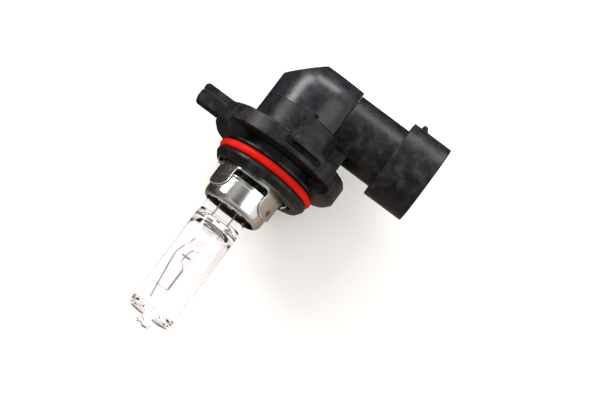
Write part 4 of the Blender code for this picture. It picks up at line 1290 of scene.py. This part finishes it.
def lug_outline(edge):
    """A lug's section. It starts inside the waist and ends inside the disc."""
    inner = WAIST_RADIUS - 0.53 * MM
    rear = DISC_REAR + 0.6 * MM
    return rounded(
        [
            (rear, inner, 0),
            (LUG_FRONT, inner, 0),
            (LUG_FRONT, BOSS_RADIUS - 0.07 * MM, edge * 0.7),
            (LUG_FRONT - 0.9 * MM, LUG_RADIUS - 1.1 * MM, edge),
            (LUG_FRONT - 2.0 * MM, LUG_RADIUS, edge),
            (rear, LUG_RADIUS, edge),
        ]
    )


def key_outline(front, rear):
    """The key's side, with a rounded outer end."""
    start, end = -DISC_RADIUS + 2 * MM, KEY_END_ROUND - KEY_REACH
    outline = [Vector((front, start))]
    outline += arc((front - KEY_END_ROUND, end), KEY_END_ROUND, 0, -90, 8)
    outline += arc((rear + KEY_END_ROUND, end), KEY_END_ROUND, -90, -180, 8)
    outline += [Vector((rear, start))]
    return outline


def base_additions(edge):
    """The lugs, the two-step key, the barrel, the shroud, the gusset and the lock nub."""
    for middle, span in LUGS:
        yield sector(lug_outline(edge), math.radians(middle), math.radians(span), edge * 0.6)
    for front, rear, half_width in KEY_STEPS:
        yield prism(key_outline(front, rear), -half_width, half_width, edge=edge)
    axis, end = (BARREL_AXIS, 0, 0), SHROUD_START + OVERSHOOT
    yield cylinder(BARREL_START, end, BARREL_RADIUS, "Y", axis, 160, edge * 0.5)
    shroud = oval(SHROUD_CENTRE, SHROUD_WIDTH, SHROUD_HEIGHT)
    yield prism(shroud, SHROUD_START, SHROUD_END, "XZ", edge * 0.8)
    low = (BARREL_AXIS + BARREL_RADIUS - 2 * MM, BARREL_START - 1 * MM, -GUSSET_HALF_HEIGHT)
    yield box(low, (DISC_REAR + 1 * MM, GUSSET_END, GUSSET_HALF_HEIGHT), edge)
    rear = SHROUD_CENTRE - SHROUD_WIDTH / 2
    root, crest, fillet = rear + 0.5 * MM, rear - LOCK_RISE, 0.3 * MM
    lock = [
        (root, LOCK_START, 0),
        (crest, LOCK_START + 0.3 * MM, fillet),
        (crest, LOCK_START + 1.3 * MM, fillet),
        (root, LOCK_START + 2.2 * MM, 0),
    ]
    yield prism(rounded(lock), -LOCK_HALF_WIDTH, LOCK_HALF_WIDTH, edge=0.25 * MM)


def pin_mark(place, radius, upward=(0, 0, 1)):
    """A ring cutter for the mark of an ejector pin on a surface that looks upward."""
    inner, sunk, above = radius - PIN_MARK_WIDTH, -PIN_MARK_DEPTH, 2 * MM
    outline = [(sunk, inner), (sunk, radius), (above, radius), (above, inner)]
    rings = []
    for k in range(48):
        angle = math.tau * k / 48
        out = Vector((math.cos(angle), math.sin(angle), 0))
        rings.append([Vector((0, 0, rise)) + out * reach for rise, reach in outline])
    mark = loft(rings, loop=True)
    lean = Vector((0, 0, 1)).rotation_difference(Vector(upward).normalized())
    bmesh.ops.rotate(mark, verts=mark.verts, cent=(0, 0, 0), matrix=lean.to_matrix())
    bmesh.ops.translate(mark, verts=mark.verts, vec=Vector(place))
    return mark


def base_cutters():
    """The bores, the tabs' pockets, the shroud's mouth, the disc's slot and the pin marks."""
    bore = SLEEVE_RADIUS + SHEET_GAP
    holder = (0, HOLDER_AXIS, 0)
    yield flared(SLEEVE_LOW.x - SHEET_GAP, BOSS_FRONT, bore, 0.2 * MM, holder, 160)
    yield cylinder(NECK_SHELF - OVERSHOOT, BOSS_FRONT, BOSS_BORE)
    yield cylinder(NECK_REAR - OVERSHOOT, NECK_SHELF, NECK_BORE, steps=160)
    for side in (-1, 1):
        near = HOLDER_AXIS + side * (SLEEVE_RADIUS - 1 * MM)
        far = HOLDER_AXIS + side * (SLEEVE_RADIUS + 2.4 * MM)
        low = (BOSS_FRONT - POCKET_DEPTH, min(near, far), -POCKET_HALF_WIDTH)
        high = (BOSS_FRONT + OVERSHOOT, max(near, far), POCKET_HALF_WIDTH)
        yield box(low, high, 0.25 * MM)
    start, end = BARREL_START - OVERSHOOT, SHROUD_START + 3 * MM
    yield cylinder(start, end, BARREL_BORE, "Y", (BARREL_AXIS, 0, 0), 128)
    walls = 2 * SHROUD_WALL
    mouth = oval(SHROUD_CENTRE, SHROUD_WIDTH - walls, SHROUD_HEIGHT - walls)
    yield prism(mouth, SHROUD_START + SHROUD_WALL, SHROUD_END + OVERSHOOT, "XZ", 0.3 * MM)
    front, rear, leg = DISC_FRONT - 1.2 * MM, DISC_REAR - 0.5 * MM, 1.0 * MM
    slot = [
        (front, SLOT_FAR_END, 0.3 * MM),
        (front - SLOT_WIDTH, SLOT_FAR_END, 0.3 * MM),
        (front - SLOT_WIDTH, leg, 0.1 * MM),
        (rear, leg, 0),
        (rear, -leg, 0),
        (front, -leg, 0.5 * MM),
    ]
    yield prism(rounded(slot), DISC_RADIUS - SLOT_DEPTH, DISC_RADIUS + 2 * MM)
    yield pin_mark((-11.4 * MM, 0.4 * MM, NECK_RADIUS), 1.1 * MM)
    across = -11.5 * MM
    tilt = math.asin(across / DISC_RADIUS)
    place = (-7.3 * MM, across, DISC_RADIUS * math.cos(tilt))
    yield pin_mark(place, 0.7 * MM, (0, math.sin(tilt), math.cos(tilt)))
    across = -1.5 * MM
    tilt = math.asin(across / BARREL_RADIUS)
    place = (BARREL_AXIS + across, 17.8 * MM, BARREL_RADIUS * math.cos(tilt))
    yield pin_mark(place, 1.1 * MM, (math.sin(tilt), 0, math.cos(tilt)))


def build_base(settings, finish):
    edge = settings.edge
    base = add_object("moulded_base", lathe(base_outline(edge)))
    join(base, *base_additions(edge))
    cut(base, *base_cutters())
    need(len(base.data.polygons) > 2000, "The moulded base came out of its Booleans empty")
    complete(base, finish, "base_housing")


def cap_body(radius, rear, front, end_height, steps=144, stations=26):
    """A round body that flattens towards its rear, where its height is end_height of its radius."""
    reach = BARREL_AXIS - rear
    semi = reach / math.sqrt(1 - end_height**2)
    places = [(front + (BARREL_AXIS - front) * k / 4, 1.0) for k in range(5)]
    for k in range(1, stations + 1):
        along = reach * math.sin(math.radians(90 * k / stations))
        places.append((BARREL_AXIS - along, math.sqrt(1 - (along / semi) ** 2)))
    rings = []
    for x, flat in places:
        ring = []
        for k in range(steps):
            angle = math.tau * k / steps
            ring.append(Vector((x, radius * math.sin(angle), radius * flat * math.cos(angle))))
        rings.append(ring)
    return loft(rings)


def drafted(outline, height, slope):
    """A cutter whose outline moves towards +X with the height above and below the middle."""
    rings = []
    for rise in (-height, 0.0, height):
        rings.append([Vector((a + abs(rise) * slope, b, rise)) for a, b in outline])
    return loft(rings)


def build_cap(finish):
    """A hollow round cap with one cut-off corner and a notch in its seam."""
    front, side = NECK_REAR - SEAM, BARREL_START - SEAM
    far = NECK_RADIUS + OVERSHOOT
    outside = cap_body(NECK_RADIUS, CAP_REAR, front, CAP_END_HEIGHT)
    cap = add_object("elbow_cap_shell", outside)
    corner = [
        Vector((CAP_REAR - OVERSHOOT, -far)),
        Vector((CAP_REAR + CAP_CHAMFER + OVERSHOOT, -far)),
        Vector((CAP_REAR - OVERSHOOT, -NECK_RADIUS + CAP_CHAMFER + OVERSHOOT)),
    ]
    past_seam = box((CAP_REAR - OVERSHOOT, side, -far), (front + OVERSHOOT, far, far))
    cut(cap, past_seam, drafted(corner, far, CAP_CHAMFER_DRAFT))
    rear, front_end = CAP_REAR + CAP_WALL, front + OVERSHOOT
    hollow = cap_body(NECK_RADIUS - CAP_WALL, rear, front_end, CAP_END_HEIGHT)
    inside = add_object("cap_inside", hollow)
    inward = Vector((CAP_WALL * 0.7, CAP_WALL * 0.7))
    cut(inside, drafted([point + inward for point in corner], far, CAP_CHAMFER_DRAFT))
    combine(cap, "DIFFERENCE", [inside])
    low = (front - 0.9 * MM, 1.1 * MM, NECK_RADIUS - 1.0 * MM)
    cut(cap, box(low, (front + OVERSHOOT, 2.3 * MM, NECK_RADIUS + OVERSHOOT), 0.25 * MM))
    need(len(cap.data.polygons) > 500, "The elbow cap came out of its Booleans empty")
    complete(cap, finish, "elbow_cap")


# ---- Terminals and carrier -------------------------------------------------------------------------


def build_terminals(finish):
    """The two blades, with chamfered ends, a foot for the lead and a catch dimple."""
    half, chamfer, fillet = BLADE_HALF_WIDTH, BLADE_CHAMFER, 0.2 * MM
    for word in ("long", "short"):
        low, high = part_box(f"terminal_{word}")
        x, leg, end = low.x + half, low.y + half, high.y
        corners = [
            (x - half, end - chamfer),
            (x - half, leg - half),
            (high.x, leg - half * 0.6),
            (high.x, leg + half * 0.6),
            (x + half, leg + half),
            (x + half, end - chamfer),
            (x + half - chamfer, end),
            (x - half + chamfer, end),
        ]
        outline = rounded([(*corner, fillet) for corner in corners])
        blade = add_object(f"{word}_blade", prism(outline, low.z, high.z, edge=0.15 * MM))
        above = (x, 0, high.z + 0.15 * MM)
        cut(blade, cylinder(end - 3.2 * MM, end - 3.0 * MM, 0.4 * MM, "Y", above, 32))
        complete(blade, finish, f"terminal_{word}")


def build_carrier(finish):
    """A round plug in the barrel, with a slot and a lead-in for each blade."""
    radius = (CARRIER_HIGH.z - CARRIER_LOW.z) / 2
    axis = ((CARRIER_LOW.x + CARRIER_HIGH.x) / 2, 0, 0)
    start, end = CARRIER_LOW.y, CARRIER_HIGH.y
    plug = cylinder(start, end, radius, "Y", axis, 96, 0.4 * MM)
    carrier = add_object("blade_carrier", plug)
    slots = []
    for word in ("long", "short"):
        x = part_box(f"terminal_{word}")[0].x + BLADE_HALF_WIDTH
        through = (0.0, end - start + OVERSHOOT, 0.0)
        for wider, depth, edge in (through, (0.35 * MM, 0.4 * MM, 0.2 * MM)):
            half_width, half_height = 1.7 * MM + wider, 0.7 * MM + wider
            low = (x - half_width, end - depth, -half_height)
            slots.append(box(low, (x + half_width, end + OVERSHOOT, half_height), edge))
    cut(carrier, *slots)
    complete(carrier, finish, "terminal_carrier")


def dress_hidden_nodes(finishes):
    """The pieces that stay as the frame has them get their finishes."""
    for name, finish in finishes.items():
        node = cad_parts[name]
        for slot in node.material_slots:
            slot.material = finish
        need(node.material_slots, f"{name} has no material slot")


# ---- Studio ----------------------------------------------------------------------------------------

# Degrees above the table, degrees of roll, and the lens in mm for each metre of distance.
CAMERA_ELEVATION = 79
CAMERA_ROLL = 36.7
LENS_PER_METRE = 246.0
CAMERA_TARGET = Vector((0.05 * MM, 10.63 * MM, 0))
BULB_MIDDLE = Vector((-5 * MM, 5 * MM, 0))

# Each softbox: name, direction from the bulb, distance, size, share of the key's radiance, colour.
COOL, WARM = (1.0, 0.99, 0.98), (1.0, 0.98, 0.95)
SOFTBOXES = [
    ("key_softbox", (-0.42, -0.80, 0.46), 0.50, (0.36, 0.14), 1.0, COOL),
    ("rear_softbox", (-0.95, -0.10, 0.42), 0.50, (0.40, 0.16), 0.55, COOL),
    ("side_softbox", (-0.1, 0.62, 0.80), 0.60, (0.60, 0.44), 0.095, WARM),
]


def add_softbox(name, direction, distance, size, radiance, colour):
    """A rectangular softbox that faces the bulb's middle. It isn't seen directly."""
    width, height = size
    lamp = bpy.data.lights.new(name, "AREA")
    lamp.shape = "RECTANGLE"
    lamp.size, lamp.size_y = width, height
    lamp.energy = radiance * 4 * width * height
    lamp.color = colour
    holder = bpy.data.objects.new(name, lamp)
    bpy.context.scene.collection.objects.link(holder)
    outward = Vector(direction).normalized()
    holder.location = BULB_MIDDLE + outward * distance
    holder.rotation_euler = outward.to_track_quat("Z", "Y").to_euler()
    holder.visible_camera = False
    return holder


def set_camera(settings, target):
    """The camera looks down on the bulb and is rolled so that the bulb lies aslant."""
    roll = math.radians(CAMERA_ROLL)
    elevation = math.radians(CAMERA_ELEVATION)
    outward = Vector((math.cos(elevation), 0, math.sin(elevation)))
    side = Vector((0, 1, 0))
    up = outward.cross(side)
    right = side * math.cos(roll) + up * math.sin(roll)
    top = outward.cross(right)
    turn = Matrix((right, top, outward)).transposed()
    camera = bpy.data.cameras.new("studio_camera")
    camera.sensor_width = 36.0
    camera.lens = LENS_PER_METRE * settings.distance
    camera.clip_start, camera.clip_end = 0.01, 20.0
    holder = bpy.data.objects.new("studio_camera", camera)
    bpy.context.scene.collection.objects.link(holder)
    holder.matrix_world = Matrix.Translation(target + outward * settings.distance) @ turn.to_4x4()
    bpy.context.scene.camera = holder


def set_room(fill):
    """The pale room. What mirrors it sees a dim ceiling over paler walls."""
    room = bpy.data.worlds.new("studio_room")
    room.use_nodes = True
    tree = room.node_tree
    place = add_node(tree, "ShaderNodeTexCoord").outputs["Generated"]
    part = add_node(tree, "ShaderNodeSeparateXYZ", {0: place}).outputs
    ceiling = remap(tree, part["Z"], 0.86, 0.98, 1.0, 0.14)
    front = remap(tree, part["X"], 0.1, 0.9, 1.0, 0.15)
    side = remap(tree, part["Y"], -0.75, -0.15, 0.15, 1.0)
    level = calculate(tree, "MULTIPLY", ceiling, calculate(tree, "MINIMUM", front, side))
    mirrored = add_node(tree, "ShaderNodeCombineColor", {0: level, 1: level, 2: level}).outputs[0]
    shown = blend_colours(tree, seen_in_gloss(tree), tone(ROOM_COLOUR), mirrored)
    background = tree.nodes["Background"].inputs
    tree.links.new(shown, background["Color"])
    background["Strength"].default_value = fill
    bpy.context.scene.world = room


def build_stage(settings):
    floor = CAD_BOX[0][2]
    set_camera(settings, CAMERA_TARGET)
    bpy.context.scene.view_settings.view_transform = "Standard"
    half = 1.5
    table = add_object(
        "table_card", box((-half, -half, floor - 4 * MM), (half, half, floor), 1 * MM)
    )
    table.data.materials.append(table_finish("table_white", settings.floor))
    for name, direction, distance, size, level, colour in SOFTBOXES:
        add_softbox(name, direction, distance, size, settings.key_power * level, colour)
    set_room(settings.fill)


# ---- Operators, panel and run ----------------------------------------------------------------------


class BULB_OT_stage(Operator):
    """Sets up the camera, the table and the lights"""

    bl_idname = "bulb.stage"
    bl_label = "Studio"

    def execute(self, context):
        build_stage(context.scene.bulb_stage)
        return {"FINISHED"}


class BULB_OT_patterns(Operator):
    """Makes the node groups that the finishes share"""

    bl_idname = "bulb.patterns"
    bl_label = "Shared Patterns"

    def execute(self, context):
        make_mould_texture()
        make_edge_wear()
        make_dust()
        make_rolled_sheet()
        return {"FINISHED"}


class BULB_OT_capsule(Operator):
    """Builds the quartz capsule and the glass bridge inside it"""

    bl_idname = "bulb.capsule"
    bl_label = "Glass Capsule"

    def execute(self, context):
        settings = context.scene.bulb_glass
        tint = tuple(settings.tint)
        build_capsule(settings, glass_finish("clear_quartz", tint, 0.012, 0.00001))
        build_bridge(glass_finish("bridge_quartz", (0.97, 0.97, 0.97), 0.9, 0.00006, 0.4))
        return {"FINISHED"}


class BULB_OT_filament(Operator):
    """Builds the filament, the wires that hold it and the sealing foils"""

    bl_idname = "bulb.filament"
    bl_label = "Filament and Wires"

    def execute(self, context):
        settings = context.scene.bulb_wires
        soot = (0.10, 0.09, 0.09)
        tungsten = sheet_finish("tungsten", tuple(settings.tungsten), 0.35, 0.55, 0.000002, soot)
        grey = tuple(settings.molybdenum)
        molybdenum = sheet_finish("molybdenum", grey, 0.28, 0.45, 0.000002, soot)
        build_leads(molybdenum)
        build_filament(settings, tungsten)
        build_strips(molybdenum)
        return {"FINISHED"}


class BULB_OT_holder(Operator):
    """Builds the sheet-metal sleeve, the cup and the pinch clamp"""

    bl_idname = "bulb.holder"
    bl_label = "Metal Holder"

    def execute(self, context):
        settings = context.scene.bulb_holder
        steel, polish = tuple(settings.steel), settings.polish
        grime = (0.45, 0.40, 0.34)
        spots = [spot + Vector((0, HOLDER_AXIS, 0)) for spot in weld_spots()]
        tint = (tuple(settings.heat_tint), spots, settings.dimple)
        dulled = tuple(part * 0.86 for part in steel)
        matt = polish + 0.16
        sleeve = sheet_finish("tongue_steel", dulled, polish + 0.04, matt, 0.000003, grime, tint)
        build_sleeve(settings, sleeve)
        bright = (0.96, 0.94, 0.91)
        build_bare_edges(sheet_finish("bare_steel", bright, 0.45, 0.55, 0.000002, bright))
        matt = polish + 0.08
        cup = sheet_finish("cup_steel", steel, polish, matt, 0.0000025, grime, bore=HOLDER_AXIS)
        build_cup(cup)
        matt, sprung = polish + 0.25, (0.50, 0.48, 0.45)
        clamp = sheet_finish("spring_steel", sprung, polish + 0.1, matt, 0.000003, grime)
        build_clamp(clamp)
        return {"FINISHED"}


class BULB_OT_ring(Operator):
    """Builds the sealing ring"""

    bl_idname = "bulb.ring"
    bl_label = "Sealing Ring"

    def execute(self, context):
        build_ring(rubber_finish("red_silicone", tuple(context.scene.bulb_mouldings.rubber)))
        return {"FINISHED"}


class BULB_OT_base(Operator):
    """Builds the moulded base with its connector"""

    bl_idname = "bulb.base"
    bl_label = "Moulded Base"

    def execute(self, context):
        settings = context.scene.bulb_mouldings
        depth = 0.00003 * settings.grain
        pale = (0.10, 0.098, 0.095)
        colour = tuple(settings.base_plastic)
        finish = moulded_finish("base_plastic", colour, 0.44, 0.28, 0.00016, depth, pale, 0.35)
        build_base(settings, finish)
        return {"FINISHED"}


class BULB_OT_cap(Operator):
    """Builds the smoother elbow cap"""

    bl_idname = "bulb.cap"
    bl_label = "Elbow Cap"

    def execute(self, context):
        settings = context.scene.bulb_mouldings
        depth = 0.000012 * settings.grain
        pale = (0.11, 0.11, 0.115)
        colour = tuple(settings.cap_plastic)
        finish = moulded_finish("cap_plastic", colour, 0.34, 0.24, 0.00022, depth, pale, 0.2, 0.36)
        build_cap(finish)
        return {"FINISHED"}


class BULB_OT_terminals(Operator):
    """Builds the blades and their carrier, and finishes what is hidden in the base"""

    bl_idname = "bulb.terminals"
    bl_label = "Terminals"

    def execute(self, context):
        wires, mouldings = context.scene.bulb_wires, context.scene.bulb_mouldings
        brass = (0.42, 0.36, 0.26)
        tin = sheet_finish("tinned_brass", tuple(wires.tin), 0.24, 0.42, 0.000003, brass)
        build_terminals(tin)
        colour = tuple(part * 1.1 for part in mouldings.base_plastic)
        pale = (0.1, 0.1, 0.1)
        plastic = moulded_finish("carrier_plastic", colour, 0.5, 0.38, 0.00018, 0.00001, pale, 0.1)
        build_carrier(plastic)
        fibre = fibre_finish("glass_fibre", (0.80, 0.78, 0.70), 0.0004)
        silicone = rubber_finish("white_silicone", (0.72, 0.70, 0.64))
        hidden = {"silicone_seal": silicone}
        for word in ("long", "short"):
            hidden[f"outer_lead_{word}"] = tin
            hidden[f"wire_sleeve_{word}"] = fibre
        dress_hidden_nodes(hidden)
        return {"FINISHED"}


class BULB_PT_build(Panel):
    """Lists what can be built, with its settings"""

    bl_idname = "BULB_PT_build"
    bl_label = "Headlight Bulb"
    bl_space_type = "VIEW_3D"
    bl_region_type = "UI"
    bl_category = "Bulb"

    def draw(self, context):
        for group, (kind, operators) in GROUPS.items():
            part = self.layout.box()
            settings = getattr(context.scene, group)
            for name in kind.__annotations__:
                part.prop(settings, name)
            for operator in operators:
                part.operator(operator.bl_idname)


GROUPS = {
    "bulb_stage": (StageSettings, [BULB_OT_stage, BULB_OT_patterns]),
    "bulb_glass": (GlassSettings, [BULB_OT_capsule]),
    "bulb_wires": (WireSettings, [BULB_OT_filament]),
    "bulb_holder": (HolderSettings, [BULB_OT_holder]),
    "bulb_mouldings": (
        MouldingSettings,
        [BULB_OT_ring, BULB_OT_base, BULB_OT_cap, BULB_OT_terminals],
    ),
}


def register():
    for group, (kind, operators) in GROUPS.items():
        bpy.utils.register_class(kind)
        setattr(bpy.types.Scene, group, PointerProperty(type=kind))
        for operator in operators:
            bpy.utils.register_class(operator)
    bpy.utils.register_class(BULB_PT_build)


def unregister():
    bpy.utils.unregister_class(BULB_PT_build)
    for group, (kind, operators) in reversed(GROUPS.items()):
        for operator in reversed(operators):
            bpy.utils.unregister_class(operator)
        delattr(bpy.types.Scene, group)
        bpy.utils.unregister_class(kind)


def main():
    """Builds the whole bulb and its studio."""
    register()
    bpy.ops.bulb.stage()
    bpy.ops.bulb.patterns()
    bpy.ops.bulb.capsule()
    bpy.ops.bulb.filament()
    bpy.ops.bulb.holder()
    bpy.ops.bulb.ring()
    bpy.ops.bulb.base()
    bpy.ops.bulb.cap()
    bpy.ops.bulb.terminals()
    bpy.context.view_layer.update()


if __name__ == "__main__":
    main()
